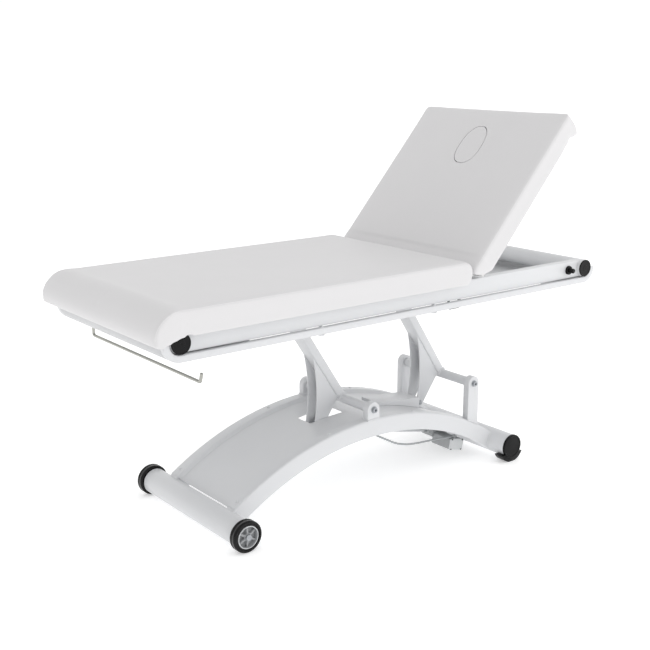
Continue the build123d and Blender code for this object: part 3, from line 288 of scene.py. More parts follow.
def join(pieces):
    bpy.ops.object.select_all(action="DESELECT")
    for piece in pieces:
        piece.select_set(True)
    bpy.context.view_layer.objects.active = pieces[0]
    bpy.ops.object.join()
    return pieces[0]


def copied(piece, matrix):
    twin = piece.copy()
    twin.data = piece.data.copy()
    bpy.context.scene.collection.objects.link(twin)
    return settle(twin, matrix)


def mirrored(piece):
    """A copy on the other side of the bed, with its faces turned back outwards."""
    twin = copied(piece, Matrix.Scale(-1, 4, (0, 1, 0)))
    only(twin)
    edit()
    bpy.ops.mesh.normals_make_consistent(inside=False)
    done()
    return twin


def turned(profile, segments=64, closed=False):
    """Round piece along +Z: a disc or ring is extruded and resized along its profile of (radius, height)."""
    bpy.ops.object.select_all(action="DESELECT")
    radius, height = profile[0]
    bpy.ops.mesh.primitive_circle_add(vertices=segments, radius=radius, location=(0, 0, height),
                                      fill_type="NOTHING" if closed else "NGON")
    piece = settle(bpy.context.object)
    edit()
    for next_radius, next_height in list(profile[1:]) + ([profile[0]] if closed else []):
        share = next_radius / radius
        bpy.ops.mesh.extrude_region_move(TRANSFORM_OT_translate={"value": (0, 0, next_height - height)})
        bpy.ops.transform.resize(value=(share, share, 1), center_override=(0, 0, next_height))
        radius, height = next_radius, next_height
    done()
    outwards(piece)
    smooth(piece)
    return piece


def facing(centre, direction):
    """Matrix that takes +Z to a direction and the origin to a point."""
    return Matrix.Translation(centre) @ Vector(direction).to_track_quat("Z", "Y").to_matrix().to_4x4()


def block(low, high, corner, segments=3):
    """Box with rounded edges between two corners."""
    bpy.ops.object.select_all(action="DESELECT")
    low, high = Vector(low), Vector(high)
    bpy.ops.mesh.primitive_cube_add(size=1, location=(low + high) / 2)
    piece = bpy.context.object
    piece.scale = high - low
    settle(piece)
    edit()
    bpy.ops.mesh.bevel(offset=corner, segments=segments, affect="EDGES", clamp_overlap=True)
    done()
    smooth(piece)
    return piece


def bead(points, radius, closed=True):
    """Weld bead: a rippled rod laid along points."""
    curve = bpy.data.curves.new("bead", "CURVE")
    curve.dimensions = "3D"
    curve.bevel_depth = radius
    curve.bevel_resolution = 3
    curve.use_fill_caps = not closed
    spline = curve.splines.new("POLY")
    spline.points.add(len(points) - 1)
    for i, point in enumerate(points):
        spline.points[i].co = (*point, 1)
        spline.points[i].radius = 1.0 + 0.10 * math.sin(i * 2.1)
    spline.use_cyclic_u = closed
    piece = bpy.data.objects.new("bead", curve)
    bpy.context.scene.collection.objects.link(piece)
    only(piece)
    bpy.ops.object.convert(target="MESH")
    piece = bpy.context.object
    smooth(piece, 60)
    return piece


def node_copy(node):
    """A merged copy of a CAD piece, free to be reshaped."""
    piece = NODES[node].copy()
    piece.data = NODES[node].data.copy()
    for key in list(piece.keys()):
        if key.startswith("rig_"):
            del piece[key]
    piece.parent = None
    piece.matrix_world = Matrix.Identity(4)
    piece.hide_render = piece.hide_viewport = False
    bpy.context.scene.collection.objects.link(piece)
    only(piece)
    if piece.data.has_custom_normals:
        bpy.ops.mesh.customdata_custom_splitnormals_clear()
    edit()
    bpy.ops.mesh.remove_doubles(threshold=1e-6)
    bpy.ops.mesh.dissolve_limited(angle_limit=math.radians(0.4))
    done()
    return piece


def break_edges(piece, width, sharpest):
    """Bevels every edge that turns by more than an angle in degrees."""
    bevel = piece.modifiers.new("edges", "BEVEL")
    bevel.width = width
    bevel.segments = 2
    bevel.limit_method = "ANGLE"
    bevel.angle_limit = math.radians(sharpest)
    apply_modifiers(piece)


def carve(piece, cutter, operation):
    """Cuts the cutter out of the piece, or keeps what both share, and removes the cutter."""
    cut = piece.modifiers.new("carve", "BOOLEAN")
    cut.object = cutter
    cut.operation = operation
    cut.solver = "EXACT"
    apply_modifiers(piece)
    bpy.data.objects.remove(cutter)


def broken_edges(node, width, body, material):
    """CAD piece with its edges broken, as on a deburred and coated or moulded part."""
    piece = node_copy(node)
    break_edges(piece, width, 40)
    smooth(piece)
    return belongs(piece, node + "_finished", body, material, (node,))


# ---- cushions ----
def fade(value, start, end):
    share = min(1.0, max(0.0, (value - start) / (end - start)))
    return share * share * (3 - 2 * share)


def soften(piece, weight, rounds):
    """Rounds the piece where weight, a function of a point, is above 0."""
    group = piece.vertex_groups.new(name="soft")
    for v in piece.data.vertices:
        share = weight(v.co)
        if share > 0:
            group.add([v.index], share, "REPLACE")
    modifier = piece.modifiers.new("soft", "SMOOTH")
    modifier.factor = 0.5
    modifier.iterations = rounds
    modifier.vertex_group = "soft"
    apply_modifiers(piece)
    piece.vertex_groups.clear()


def remesh(piece, size):
    modifier = piece.modifiers.new("even_mesh", "REMESH")
    modifier.mode = "VOXEL"
    modifier.voxel_size = size
    apply_modifiers(piece)


def swell(piece, cap, allowed):
    """Stuffing pressure pushes the cover out, by no more than cap times allowed at each point."""
    rest = [v.co.copy() for v in piece.data.vertices]
    normals = [v.normal.copy() for v in piece.data.vertices]
    cloth = piece.modifiers.new("cover_tension", "CLOTH")
    cloth.settings.quality = 4
    cloth.settings.use_pressure = True
    cloth.settings.uniform_pressure_force = 4.0
    cloth.settings.effector_weights.gravity = 0.0
    cloth.point_cache.frame_start = 1
    cloth.point_cache.frame_end = 20
    for step in range(1, 21):
        bpy.context.scene.frame_set(step)
    apply_modifiers(piece)
    bpy.context.scene.frame_set(1)
    moved = [v.co.copy() for v in piece.data.vertices]
    for v, before, after, normal in zip(piece.data.vertices, rest, moved, normals):
        step = after - before
        limit = cap * allowed(before, normal)
        v.co = before + (step * (limit / step.length) if step.length > limit else step)


def refine(piece):
    finer = piece.modifiers.new("finer", "SUBSURF")
    finer.levels = finer.render_levels = 1
    apply_modifiers(piece)


def seam_line(pad, points, radius):
    """Stitched seam: a thin cord sunk half way into the cover along points that are moved onto it."""
    world = []
    for point, direction in points:
        hit, place, normal, _ = pad.ray_cast(Vector(point), Vector(direction))
        if hit:
            world.append(place - normal * radius * 0.35)
    return bead(world, radius, closed=False)


class BED_OT_seat_cushion(bpy.types.Operator):
    """Seat cushion with a rolled foot end, soft sides and a seam along each side"""
    bl_idname = "bed.seat_cushion"
    bl_label = "Seat cushion"

    def execute(self, context):
        sizes = context.scene.bed_sizes
        low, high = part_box("seat_cushion")
        half = high.y
        pad = node_copy("seat_cushion")
        remesh(pad, 7 * MM)
        nose_end = FOOT_TUBE.x - 0.02

        def near_edge(p):
            side = fade(abs(p.y), half - 0.075, half - 0.045)
            if p.x < nose_end:
                return max(side, 0.35) * fade(p.z, 0.690, 0.705)
            rear = fade(p.x, high.x - 0.07, high.x - 0.04)
            return max(side, rear * 0.8) * fade(p.z, 0.728, 0.742)

        soften(pad, near_edge, 9)

        def allowed(p, normal):
            if abs(p.y) < 0.336 and p.z < 0.735 and normal.z < 0.2 and p.x > low.x + 0.01:
                return 0.0
            share = fade(p.z, 0.700, 0.740)
            if p.x > high.x - 0.03:
                share *= 0.25
            crown = 0.45 + 0.55 * (1 - (p.y / half) ** 2)
            return share * crown if normal.z > 0.5 else share * 0.5

        swell(pad, sizes.swell, allowed)
        for v in pad.data.vertices:
            p = v.co
            off = Vector((p.x - FOOT_TUBE.x, p.z - FOOT_TUBE.z))
            if abs(p.y) > 0.334 and off.length < 0.085 and p.x < FOOT_TUBE.x + 0.06:
                angle = math.atan2(off.y, off.x)
                tuck = math.sin(angle * 15) * (1 - fade(off.length, 0.035, 0.085))
                p.y += math.copysign(1.3 * MM * tuck, p.y)
            if abs(p.y) < 0.336 and p.z > 0.735:
                p.z += 0.9 * MM * noise.noise(p * 5.5)
        refine(pad)
        smooth(pad, 180)
        belongs(pad, "seat_cushion_cover", "top_frame", MATERIALS["cover"],
                ("seat_cushion",))
        seams = []
        steps = 150
        nose_share, nose_long, nose_high = 0.22, 0.10, 0.074
        for side in (-1, 1):
            core_y, core_z = side * (half - 2 * sizes.seam), high.z - 2 * sizes.seam
            line = []
            for i in range(steps):
                share = i / (steps - 1)
                if share < nose_share:
                    turn = math.pi * (1.0 - share / nose_share * 0.5)
                    way = Vector((math.cos(turn), side, math.sin(turn))).normalized()
                    reach = Vector((nose_long - 2 * sizes.seam, 0, nose_high - 2 * sizes.seam))
                    core = Vector((low.x + nose_long + math.cos(turn) * reach.x, core_y,
                                   high.z - nose_high + math.sin(turn) * reach.z))
                else:
                    way = Vector((0, side, 1)).normalized()
                    along = (share - nose_share) / (1 - nose_share) * (high.x - low.x - 0.13)
                    core = Vector((low.x + nose_long + along, core_y, core_z))
                line.append((core + way * 0.2, -way))
            seams.append(seam_line(pad, line, 0.9 * MM))
        seam = join(seams)
        belongs(seam, "seat_seams", "top_frame", MATERIALS["thread"])
        return {"FINISHED"}


class BED_OT_backrest_cushion(bpy.types.Operator):
    """Backrest cushion with a rolled head end and an oval face hole with its lift-out pad"""
    bl_idname = "bed.backrest_cushion"
    bl_label = "Backrest cushion"

    def execute(self, context):
        sizes = context.scene.bed_sizes
        pad = settle(node_copy("backrest_cushion"), LOWER)
        xs = [v.co.x for v in pad.data.vertices]
        low_x, high_x, half = min(xs), max(xs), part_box("backrest_cushion")[1].y
        plug_low, plug_high = [], []
        plug = settle(node_copy("face_plug"), LOWER)
        for axis in range(3):
            values = [v.co[axis] for v in plug.data.vertices]
            plug_low.append(min(values))
            plug_high.append(max(values))
        bpy.data.objects.remove(plug)
        centre = Vector([(a + b) / 2 for a, b in zip(plug_low, plug_high)])
        reach = Vector(((plug_high[0] - plug_low[0]) / 2 + MM, (plug_high[1] - plug_low[1]) / 2 + MM))
        top = plug_high[2]

        def oval(grow, z0, z1, segments=96):
            piece = turned([(1.0, z0), (1.0, z1)], segments)
            for v in piece.data.vertices:
                flat = Vector((v.co.x, v.co.y)).length
                square = [math.copysign(abs(c / flat) ** 0.84, c) * flat for c in (v.co.x, v.co.y)]
                narrow = 1 - 0.07 * square[0] - 0.03 * square[0] ** 2
                v.co.x = square[0] * (reach.x + grow)
                v.co.y = square[1] * (reach.y + grow) * narrow
            return settle(piece, Matrix.Translation((centre.x, centre.y, 0)))

        filler = oval(6 * MM, plug_low[2] - 0.0005, top)
        pad = join([pad, filler])
        remesh(pad, 7 * MM)

        def near_edge(p):
            side = fade(abs(p.y), half - 0.075, half - 0.040)
            if p.x > HEAD_TUBE.x + 0.02:
                return max(side, 0.35) * fade(p.z, 0.700, 0.715)
            return side * fade(p.z, 0.732, 0.745)

        soften(pad, near_edge, 9)

        def allowed(p, normal):
            if abs(p.y) < 0.334 and p.z < 0.737 and normal.z < 0.2 and p.x < high_x - 0.01:
                return 0.0
            share = fade(p.z, 0.712, 0.750)
            if p.x < low_x + 0.06:
                share *= 0.1
            crown = 0.45 + 0.55 * (1 - (p.y / half) ** 2)
            return share * crown if normal.z > 0.5 else share * 0.5

        swell(pad, sizes.swell, allowed)
        rounding = 0.040
        for v in pad.data.vertices:
            p = v.co
            corner = Vector((p.x - (high_x - rounding), abs(p.y) - (half - rounding)))
            if min(corner) > 0 and corner.length > rounding:
                corner *= rounding / corner.length
                p.x = high_x - rounding + corner.x
                p.y = math.copysign(half - rounding + corner.y, p.y)
            if p.z > 0.745:
                away = Vector(((p.x - centre.x) / reach.x, p.y / reach.y))
                ring = math.exp(-((away.length - 1) / 0.16) ** 2)
                outer = math.exp(-((away.length - 1.18) / 0.14) ** 2)
                pucker = math.sin(math.atan2(away.y, away.x) * 17) * outer
                p.z += -1.6 * MM * ring + 0.35 * MM * pucker
                if abs(p.y) < half - 0.03:
                    p.z += 0.9 * MM * noise.noise(p * 5.0)
        refine(pad)
        insert = pad.copy()
        insert.data = pad.data.copy()
        context.scene.collection.objects.link(insert)
        for piece, grow, operation in ((pad, 0.0, "DIFFERENCE"), (insert, -2.6 * MM, "INTERSECT")):
            cutter = oval(grow, 0.70 if operation == "DIFFERENCE" else plug_low[2] + 0.002, 0.82)
            carve(piece, cutter, operation)
        settle(pad, RAISE)
        smooth(pad, 50)
        belongs(pad, "backrest_cushion_cover", "backrest", MATERIALS["cover"],
                ("backrest_cushion",))
        break_edges(insert, 1.2 * MM, 55)
        settle(insert, RAISE)
        smooth(insert, 50)
        belongs(insert, "face_plug_cover", "face_plug_body", MATERIALS["cover"],
                ("face_plug",))
        seams = []
        steps = 90
        flat_share = 0.88
        for side in (-1, 1):
            core_y, core_z = side * (half - 2 * sizes.seam), top - 2 * sizes.seam
            line = []
            for i in range(steps):
                share = i / (steps - 1)
                if share > flat_share:
                    turn = math.pi / 2 * (1 - (share - flat_share) / (1 - flat_share))
                    way = Vector((math.cos(turn), side, math.sin(turn))).normalized()
                    core = Vector((high_x - 2.4 * sizes.seam, core_y, core_z))
                else:
                    way = Vector((0, side, 1)).normalized()
                    along = share / flat_share * (high_x - low_x - 0.060)
                    core = Vector((low_x + 0.035 + along, core_y, core_z))
                line.append((RAISE @ (core + way * 0.2), RAISE.to_3x3() @ -way))
            seams.append(seam_line(pad, line, 0.9 * MM))
        seam = join(seams)
        belongs(seam, "backrest_seams", "backrest", MATERIALS["thread"])
        return {"FINISHED"}


# ---- frame and base ----
EDGES = (
    ("edge_strip_right", 2.2, "top_frame", "coat", "frame_white"),
    ("edge_strip_left", 2.2, "top_frame", "coat", "frame_white"),
    ("foot_tube", 0.6, "top_frame", "coat", "frame_white"),
    ("head_tube", 0.6, "top_frame", "coat", "frame_white"),
    ("foot_apron", 0.5, "top_frame", "apron", "frame_white"),
    ("head_apron", 0.5, "top_frame", "apron", "frame_white"),
    ("lift_crossbars", 0.8, "top_frame", "coat", "frame_white"),
    ("gas_crossbar", 0.8, "top_frame", "coat", "frame_white"),
    ("frame_lugs", 0.8, "top_frame", "coat", "frame_white"),
    ("strip_screws", 0.5, "top_frame", "coat", "frame_white"),
    ("pivot_pins", 0.8, "top_frame", "zinc", "steel"),
    ("rest_bumpers", 0.6, "top_frame", "rubber", "bumper"),
    ("seat_board", 0.8, "top_frame", "board", "board"),
    ("release_lever", 0.4, "release_body", "black_steel", "blackened"),
    ("backrest_frame", 0.8, "backrest", "coat", "frame_white"),
    ("backrest_cross_tubes", 1.2, "backrest", "coat", "frame_white"),
    ("backrest_board", 0.8, "backrest", "board", "board"),
    ("foot_arm_levers", 0.7, "foot_arm_body", "coat", "base_white"),
    ("head_arm_levers", 0.7, "head_arm_body", "coat", "base_white"),
    ("foot_lever_pin", 0.6, "foot_arm_body", "zinc", "steel"),
    ("head_lever_pin", 0.6, "head_arm_body", "zinc", "steel"),
    ("tie_bars", 0.6, "tie_bar_body", "zinc", "steel"),
    ("actuator_housing", 1.2, "actuator_body", "gearbox", "actuator_grey"),
    ("actuator_tube", 0.6, "actuator_body", "aluminium", "rod_alu"),
    ("actuator_motor", 1.2, "actuator_body", "gearbox", "actuator_grey"),
    ("motor_end_cover", 0.6, "actuator_body", "cover_plate", "cover_grey"),
    ("actuator_rod", 0.6, "actuator_rod_body", "aluminium", "rod_alu"),
    ("base_wheel_tube", 1.0, "base", "coat", "base_white"),
    ("base_foot_tube", 0.6, "base", "coat", "base_white"),
    ("base_feet", 1.0, "base", "moulding", "black_plastic"),
    ("cover_panel", 0.5, "base", "coat", "base_white"),
    ("link_hood", 0.9, "base", "coat", "base_white"),
    ("short_brackets", 1.4, "base", "coat", "base_white"),
    ("tall_brackets", 1.4, "base", "coat", "base_white"),
    ("actuator_clevis", 0.8, "base", "coat", "base_white"),
    ("actuator_rear_pin", 0.5, "base", "zinc", "steel"),
    ("control_box", 1.0, "base", "cover_plate", "cover_grey"),
)
PLAIN = (("paper_bar", "stainless"), ("gas_cylinder", "black_steel"), ("gas_rod", "stainless"),
         ("actuator_cable", "cable"), ("axle_bolts", "zinc"))


class BED_OT_coated_frame(bpy.types.Operator):
    """Breaks the edges of the sheet, tube and moulded parts and gives each its finish"""
    bl_idname = "bed.coated_frame"
    bl_label = "Coated frame"

    def execute(self, context):
        for node, width, body, material, slot in EDGES:
            broken_edges(node, width * MM, body, MATERIALS[material])
        low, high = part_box("link_hood")
        front = block((low.x, low.y, high.z - 0.0145), (low.x + 0.0025, high.y, high.z - 0.0002), 0.8 * MM)
        belongs(front, "link_hood_front", "base", MATERIALS["coat"])
        for node, material in PLAIN:
            for slot in NODES[node].material_slots:
                slot.material = MATERIALS[material]
        return {"FINISHED"}


class BED_OT_side_rails(bpy.types.Operator):
    """Round-cornered box tubes along both sides of the top frame"""
    bl_idname = "bed.side_rails"
    bl_label = "Side rails"

    def execute(self, context):
        corner = context.scene.bed_sizes.tube_corner
        for side in ("right", "left"):
            low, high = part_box("side_rail_" + side)
            rail = block((FOOT_TUBE.x + 0.004, low.y, low.z), (HEAD_TUBE.x - 0.004, high.y, high.z), corner)
            belongs(rail, "side_rail_" + side + "_tube", "top_frame", MATERIALS["coat"],
                    ("side_rail_" + side,))
        return {"FINISHED"}


class BED_OT_arch_rails(bpy.types.Operator):
    """Box tubes rolled to the arch, one on each side of the base"""
    bl_idname = "bed.arch_rails"
    bl_label = "Arch rails"

    def execute(self, context):
        corner = context.scene.bed_sizes.tube_corner
        sweep = math.radians(ARCH_HALF_SWEEP)
        middle = (ARCH_OUTER + ARCH_INNER) / 2
        for side in ("right", "left"):
            low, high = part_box("base_rail_" + side)
            y = (low.y + high.y) / 2
            bpy.ops.object.select_all(action="DESELECT")
            bpy.ops.mesh.primitive_plane_add(size=1)
            rail = bpy.context.object
            rail.scale = (ARCH_OUTER - ARCH_INNER, high.y - low.y, 1)
            settle(rail)
            edit()
            bpy.ops.mesh.bevel(offset=corner, segments=4, affect="VERTICES")
            done()
            place = Matrix.Rotation(-sweep, 4, "Y") @ Matrix.Translation((0, 0, middle))
            stand = place @ Matrix.Rotation(math.pi / 2, 4, "Y")
            settle(rail, Matrix.Translation((ARCH.x, y, ARCH.z)) @ stand)
            edit()
            bpy.ops.mesh.spin(steps=72, angle=-2 * sweep, center=(ARCH.x, y, ARCH.z), axis=(0, 1, 0))
            done()
            outwards(rail)
            smooth(rail)
            belongs(rail, "base_rail_" + side + "_tube", "base", MATERIALS["coat"],
                    ("base_rail_" + side,))
        return {"FINISHED"}


class BED_OT_lift_arms(bpy.types.Operator):
    """Both lift arms: box tube, pivot tubes with turned ends, and weld beads"""
    bl_idname = "bed.lift_arms"
    bl_label = "Lift arms"

    def execute(self, context):
        sizes = context.scene.bed_sizes
        lean = math.atan2(ARM_RUN, ARM_RISE)
        for pivot, node in zip(ARM_PIVOTS, ("foot_arm", "head_arm")):
            parts = [block((-0.015, -0.030, 0.0), (0.015, 0.030, ARM_LONG), sizes.tube_corner)]
            tubes = ((0.016, 0.1615, 0.0), (0.014, 0.0655, ARM_LONG), (0.015, 0.030, ARM_LONG))
            for radius, half, height in tubes:
                lip = 1.2 * MM
                tube = turned([(radius - lip, -half), (radius, -half + lip), (radius, half - lip),
                               (radius - lip, half)], 56)
                parts.append(settle(tube, facing((0, 0, height), (0, 1, 0))))
            side_weld = []
            for side in (-1, 1):
                points = []
                for i in range(13):
                    turn = math.radians(30 + 10 * i)
                    points.append((0.0172 * math.cos(turn), side * 0.0308, 0.0172 * math.sin(turn)))
                side_weld.append(bead(points, sizes.weld, closed=False))
            for x in (-0.0152, 0.0152):
                points = [(x, -0.031 + 0.0031 * i, 0.0128) for i in range(21)]
                side_weld.append(bead(points, sizes.weld, closed=False))
            arm = join(parts + side_weld)
            settle(arm, Matrix.Translation(pivot) @ Matrix.Rotation(-lean, 4, "Y"))
            belongs(arm, node + "_welded", node + "_body", MATERIALS["coat"], (node,))
        return {"FINISHED"}


class BED_OT_wheels(bpy.types.Operator):
    """Two wheels: grooved tyre, bright trim ring and spoked hub"""
    bl_idname = "bed.wheels"
    bl_label = "Wheels"

    def execute(self, context):
        low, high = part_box("wheel_tyre_left")
        width = high.y - low.y
        radius = (high.z - low.z) / 2
        hub_low, hub_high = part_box("wheel_hub_left")
        hub = (hub_high.z - hub_low.z) / 2
        shoulder = 0.006
        tyre_line = [(hub, 0.001), (hub + 0.003, 0.0), (radius - shoulder, 0.0)]
        for i in range(1, 6):
            turn = math.radians(18 * i)
            tyre_line.append((radius - shoulder + shoulder * math.sin(turn),
                              shoulder - shoulder * math.cos(turn)))
        middle = width / 2
        tyre_line += [(radius, middle - 0.004), (radius - 0.0006, middle - 0.003),
                      (radius - 0.0006, middle + 0.003), (radius, middle + 0.004)]
        for i in range(6):
            turn = math.radians(18 * i)
            tyre_line.append((radius - shoulder + shoulder * math.cos(turn),
                              width - shoulder + shoulder * math.sin(turn)))
        tyre_line += [(hub + 0.005, width), (hub + 0.0042, width - 0.0008), (hub + 0.003, width),
                      (hub, width - 0.001)]
        rim_line = [(hub, 0.001), (hub, width - 0.001), (hub - 0.0008, width - 0.0002),
                    (hub - 0.003, width - 0.0002), (hub - 0.0042, width - 0.0025), (hub - 0.0042, 0.001)]
        ring_line = [(hub - 0.0008, width - 0.0012), (hub - 0.0010, width + 0.0002),
                     (hub - 0.0030, width + 0.0002), (hub - 0.0036, width - 0.0018)]
        boss_line = [(0.0063, 0.0), (0.012, 0.0), (0.012, width - 0.003), (0.011, width - 0.002),
                     (0.0063, width - 0.002)]
        web_line = [(0.011, 0.011), (hub - 0.004, 0.011), (hub - 0.004, 0.014), (0.011, 0.014)]
        hub_parts = [turned(rim_line, 72, True), turned(boss_line, 48, True), turned(web_line, 64, True)]
        spoke = block((0.0105, -0.0030, 0.006), (hub - 0.0035, 0.0030, width - 0.004), 0.0012, 2)
        for v in spoke.data.vertices:
            share = fade(v.co.x, 0.012, hub - 0.006)
            v.co.y *= 1.25 - 0.45 * share
            if v.co.z > width * 0.6:
                v.co.z -= 0.0015 * share
        for i in range(6):
            hub_parts.append(copied(spoke, Matrix.Rotation(math.radians(60 * i + 30), 4, "Z")))
        bpy.data.objects.remove(spoke)
        made = {"tyre": turned(tyre_line, 96, True), "hub": join(hub_parts),
                "ring": turned(ring_line, 72, True)}
        names = {"tyre": ("wheel_tyre_", "tyre", "tyre_black"), "hub": ("wheel_hub_", "hub", "hub_grey"),
                 "ring": ("wheel_trim_", "bright", "stainless")}
        for kind, piece in made.items():
            settle(piece, facing((WHEEL.x, low.y, WHEEL.z), (0, 1, 0)))
            twin = mirrored(piece)
            smooth(twin)
            for side, wheel in (("left", piece), ("right", twin)):
                start, material, slot = names[kind]
                stands = () if kind == "ring" else (start + side,)
                belongs(wheel, start + side + "_made", "wheel_" + side, MATERIALS[material], stands)
        return {"FINISHED"}


class BED_OT_fasteners(bpy.types.Operator):
    """Tube end plugs, push button, pivot bolts, panel screws and foot cap rings"""
    bl_idname = "bed.fasteners"
    bl_label = "Fasteners and plugs"

    def pair(self, piece, name, body, material, slot, stands):
        """The piece and its mirror image, joined into one."""
        twin = mirrored(piece)
        smooth(twin)
        return belongs(join([piece, twin]), name, body, MATERIALS[material], stands)

    def execute(self, context):
        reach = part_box("tube_plugs")[1].y
        plug_line = [(0.0265, -0.022), (0.0270, -0.0055), (0.0296, -0.0052), (0.0300, -0.0046),
                     (0.0300, -0.0016), (0.0290, -0.0004), (0.0276, 0.0), (0.0262, -0.0004),
                     (0.0254, -0.0014), (0.0120, -0.0016), (0.0112, -0.0010), (0.0040, -0.0008),
                     (0.0034, -0.0014), (0.0006, -0.0016)]
        plug = turned(plug_line, 72)
        plugs = [copied(plug, facing((x, reach, FOOT_TUBE.z), (0, 1, 0))) for x in (FOOT_TUBE.x, HEAD_TUBE.x)]
        bpy.data.objects.remove(plug)
        self.pair(join(plugs), "tube_plugs_made", "top_frame", "moulding", "black_plastic", ("tube_plugs",))

        collar = turned([(0.00856, 0.0), (0.0155, 0.0), (0.0155, 0.0055), (0.0148, 0.0072), (0.0130, 0.0080),
                         (0.0098, 0.0080), (0.00856, 0.0070)], 64, True)
        settle(collar, facing((KNOB.x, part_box("knob_flange")[1].y, KNOB.z), (0, -1, 0)))
        belongs(collar, "button_collar_made", "top_frame", MATERIALS["moulding"],
                ("knob_flange",))
        low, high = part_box("clamp_knob")
        long = high.y - low.y
        button = turned([(0.0080, 0.0), (0.0085, 0.0005), (0.0085, long - 0.0030), (0.0080, long - 0.0012),
                         (0.0068, long - 0.0003), (0.0050, long), (0.0030, long - 0.0004),
                         (0.0005, long - 0.0006)], 56)
        settle(button, facing((KNOB.x, high.y, KNOB.z), (0, -1, 0)))
        belongs(button, "push_button_made", "knob_body", MATERIALS["moulding"],
                ("clamp_knob",))

        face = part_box("pivot_bolts")[1].y - 0.011
        bolts = []
        for pivot in ARM_PIVOTS:
            washer = turned([(0.0112, 0.0), (0.0118, 0.0004), (0.0118, 0.0012), (0.0112, 0.0016),
                             (0.0040, 0.0016)], 56)
            head = turned([(0.0092, 0.0014), (0.0092, 0.0086), (0.0084, 0.0096), (0.0056, 0.0096)], 48)
            socket = turned([(0.0046, 0.0040), (0.0046, 0.0120)], 6)
            carve(head, socket, "DIFFERENCE")
            shank = turned([(0.0080, -0.065), (0.0080, 0.0)], 40)
            smooth(head, 20)
            bolt = join([washer, head, shank])
            bolts.append(settle(bolt, facing((pivot.x, face, pivot.z), (0, 1, 0))))
        self.pair(join(bolts), "pivot_bolts_made", "base", "zinc", "steel", ("pivot_bolts",))

        screws = []
        radius = ARCH_OUTER + 0.0015
        for degrees in SCREWS_ALONG_ARCH:
            turn = math.radians(degrees)
            centre = ARCH + Vector((radius * math.sin(turn), 0.167, radius * math.cos(turn)))
            head = turned([(0.0056, -0.0005), (0.0056, 0.0008), (0.0050, 0.0020), (0.0038, 0.0028),
                           (0.0022, 0.0030), (0.0018, 0.0018), (0.0004, 0.0016)], 32)
            screws.append(settle(head, facing(centre, (math.sin(turn), 0, math.cos(turn)))))
        self.pair(join(screws), "panel_screws_made", "base", "coat", "base_white", ("panel_screws",))

        low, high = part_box("motor_end_cover")
        middle = (low + high) / 2
        tilt = Matrix.Rotation(math.radians(ACTUATOR_TILT), 3, "Y")
        dots = []
        for across in (-0.026, 0.026):
            for up in (-0.018, 0.018):
                dot = turned([(0.0026, 0.0008), (0.0026, -0.0004), (0.0020, -0.0010), (0.0010, -0.0008),
                              (0.0004, 0.0002)], 24)
                spot = middle + tilt @ Vector((across, 0, up))
                dots.append(settle(dot, facing((spot.x, low.y, spot.z), (0, 1, 0))))
        belongs(join(dots), "motor_cover_screws", "actuator_body", MATERIALS["black_steel"])

        ring = turned([(0.0425, 0.0), (0.0430, 0.0008), (0.0424, 0.0022), (0.0392, 0.0026), (0.0380, 0.0012),
                       (0.0380, 0.0)], 72, True)
        settle(ring, facing((BASE_FOOT.x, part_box("base_feet")[1].y - 0.0006, BASE_FOOT.z), (0, 1, 0)))
        self.pair(ring, "foot_cap_rims", "base", "moulding", "black_plastic", ())
        return {"FINISHED"}


class BED_OT_welds(bpy.types.Operator):
    """Weld beads of the base: bracket feet and arch rails at the cross tubes"""
    bl_idname = "bed.welds"
    bl_label = "Welds"

    def execute(self, context):
        weld = context.scene.bed_sizes.weld
        beads = []
        top = ARCH_OUTER + 0.0015
        for pivot in ARM_PIVOTS:
            points = []
            for x, y in self.outline(pivot.x, 0.1745, 0.025, 0.0125):
                height = ARCH.z + math.sqrt(top * top - (x - ARCH.x) ** 2)
                points.append((x, y, height + 0.0003))
            beads.append(bead(points, weld))
        for tube, way in ((WHEEL, 1), (BASE_FOOT, -1)):
            radius = 0.0425
            for y in (0.1465, 0.1875):
                points = []
                for i in range(14):
                    turn = math.radians(-28 + 6.2 * i)
                    points.append((tube.x + way * radius * math.cos(turn), y,
                                   tube.z + radius * math.sin(turn)))
                beads.append(bead(points, weld, closed=False))
        right = join(beads)
        left = mirrored(right)
        smooth(left, 60)
        belongs(join([right, left]), "base_welds", "base", MATERIALS["coat"])
        return {"FINISHED"}

    @staticmethod
    def outline(x, y, half_x, half_y):
        """Points round a rectangle, about 4 mm apart."""
        corners = [(-1, -1), (1, -1), (1, 1), (-1, 1)]
        points = []
        for (ax, ay), (bx, by) in zip(corners, corners[1:] + corners[:1]):
            for i in range(10):
                share = i / 10
                points.append((x + half_x * (ax + (bx - ax) * share), y + half_y * (ay + (by - ay) * share)))
        return points


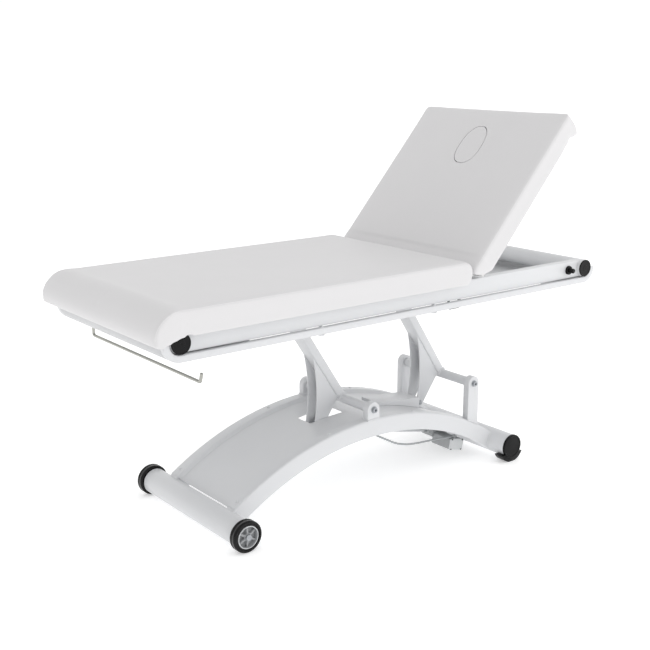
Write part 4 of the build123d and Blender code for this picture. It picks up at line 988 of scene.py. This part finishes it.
class BED_OT_studio(bpy.types.Operator):
    """Pale floor, soft studio lights and the camera"""
    bl_idname = "bed.studio"
    bl_label = "Studio"

    def execute(self, context):
        scene = context.scene
        scene.view_settings.view_transform = "Standard"
        bpy.ops.object.select_all(action="DESELECT")
        bpy.ops.mesh.primitive_plane_add(size=60)
        floor = bpy.context.object
        floor.name = "studio_floor"
        paper = surface("studio_floor_paint", linear("#F4F4F4"), 0.9, tone=0.0, grain_depth=0.0,
                        fixed={"Emission Color": (1, 1, 1, 1), "Emission Strength": 0.40})
        floor.data.materials.append(paper)
        world = bpy.data.worlds.new("studio")
        scene.world = world
        world.use_nodes = True
        tree = world.node_tree
        sky = tree.nodes["Background"]
        sky.inputs["Color"].default_value = (1, 1, 1, 1)
        # A soft box all round: bright walls, a dimmer ceiling and a dimmer foot end.
        way = add(tree, "ShaderNodeTexCoord").outputs["Generated"]
        height = add(tree, "ShaderNodeSeparateXYZ", {}, {"Vector": way}).outputs["Z"]
        strength = add(tree, "ShaderNodeMapRange", {}, {"Value": height, "From Min": 0.25, "From Max": 0.9,
                                                        "To Min": 1.03, "To Max": 0.90})
        along = add(tree, "ShaderNodeSeparateXYZ", {}, {"Vector": way}).outputs["X"]
        dim = add(tree, "ShaderNodeMapRange", {}, {"Value": along, "From Min": -0.75, "From Max": -0.25,
                                                   "To Min": 0.72, "To Max": 1.0})
        both = add(tree, "ShaderNodeMath", {"operation": "MULTIPLY"},
                   {0: strength.outputs["Result"], 1: dim.outputs["Result"]})
        tree.links.new(both.outputs[0], sky.inputs["Strength"])
        lamps = (("key", (0.6, -4.4, 1.6), 8, 2.4), ("side", (4.2, -2.6, 1.6), 17, 2.0))
        for name, place, power, size in lamps:
            lamp = bpy.data.lights.new("soft_" + name, "AREA")
            lamp.energy = power
            lamp.size = size
            holder = bpy.data.objects.new("soft_" + name, lamp)
            scene.collection.objects.link(holder)
            holder.location = place
            holder.rotation_mode = "QUATERNION"
            holder.rotation_quaternion = (Vector((0, 0, 0.6)) - Vector(place)).to_track_quat("-Z", "Y")
        lens = bpy.data.cameras.new("camera")
        lens.sensor_width = CAMERA_SENSOR
        lens.lens = CAMERA_LENS
        camera = bpy.data.objects.new("camera", lens)
        scene.collection.objects.link(camera)
        camera.location = CAMERA_PLACE
        pitch = math.radians(CAMERA_PITCH)
        yaw = math.radians(CAMERA_YAW)
        way = Vector((math.sin(yaw) * math.cos(pitch), math.cos(yaw) * math.cos(pitch), math.sin(pitch)))
        camera.rotation_mode = "QUATERNION"
        camera.rotation_quaternion = way.to_track_quat("-Z", "Y")
        scene.camera = camera
        return {"FINISHED"}


STEPS = (BED_OT_studio, BED_OT_coated_frame, BED_OT_side_rails, BED_OT_arch_rails, BED_OT_lift_arms,
         BED_OT_wheels, BED_OT_fasteners, BED_OT_welds, BED_OT_seat_cushion, BED_OT_backrest_cushion)


class BED_PT_panel(bpy.types.Panel):
    """Lists every step in the order it runs"""
    bl_label = "Treatment Bed"
    bl_space_type = "VIEW_3D"
    bl_region_type = "UI"
    bl_category = "Treatment Bed"

    def draw(self, context):
        for group in (context.scene.bed_sizes, context.scene.bed_colours):
            for key in group.__annotations__:
                self.layout.prop(group, key)
        for step in STEPS:
            self.layout.operator(step.bl_idname)


CLASSES = (BedSizes, BedColours, *STEPS, BED_PT_panel)


def register():
    for cls in CLASSES:
        bpy.utils.register_class(cls)
    bpy.types.Scene.bed_sizes = PointerProperty(type=BedSizes)
    bpy.types.Scene.bed_colours = PointerProperty(type=BedColours)


def unregister():
    del bpy.types.Scene.bed_sizes
    del bpy.types.Scene.bed_colours
    for cls in reversed(CLASSES):
        bpy.utils.unregister_class(cls)


def build_bed():
    """Runs every step in order."""
    register()
    MATERIALS.update(make_materials(bpy.context.scene.bed_colours))
    for step in STEPS:
        group, name = step.bl_idname.split(".")
        getattr(getattr(bpy.ops, group), name)()


if __name__ == "__main__":
    build_bed()
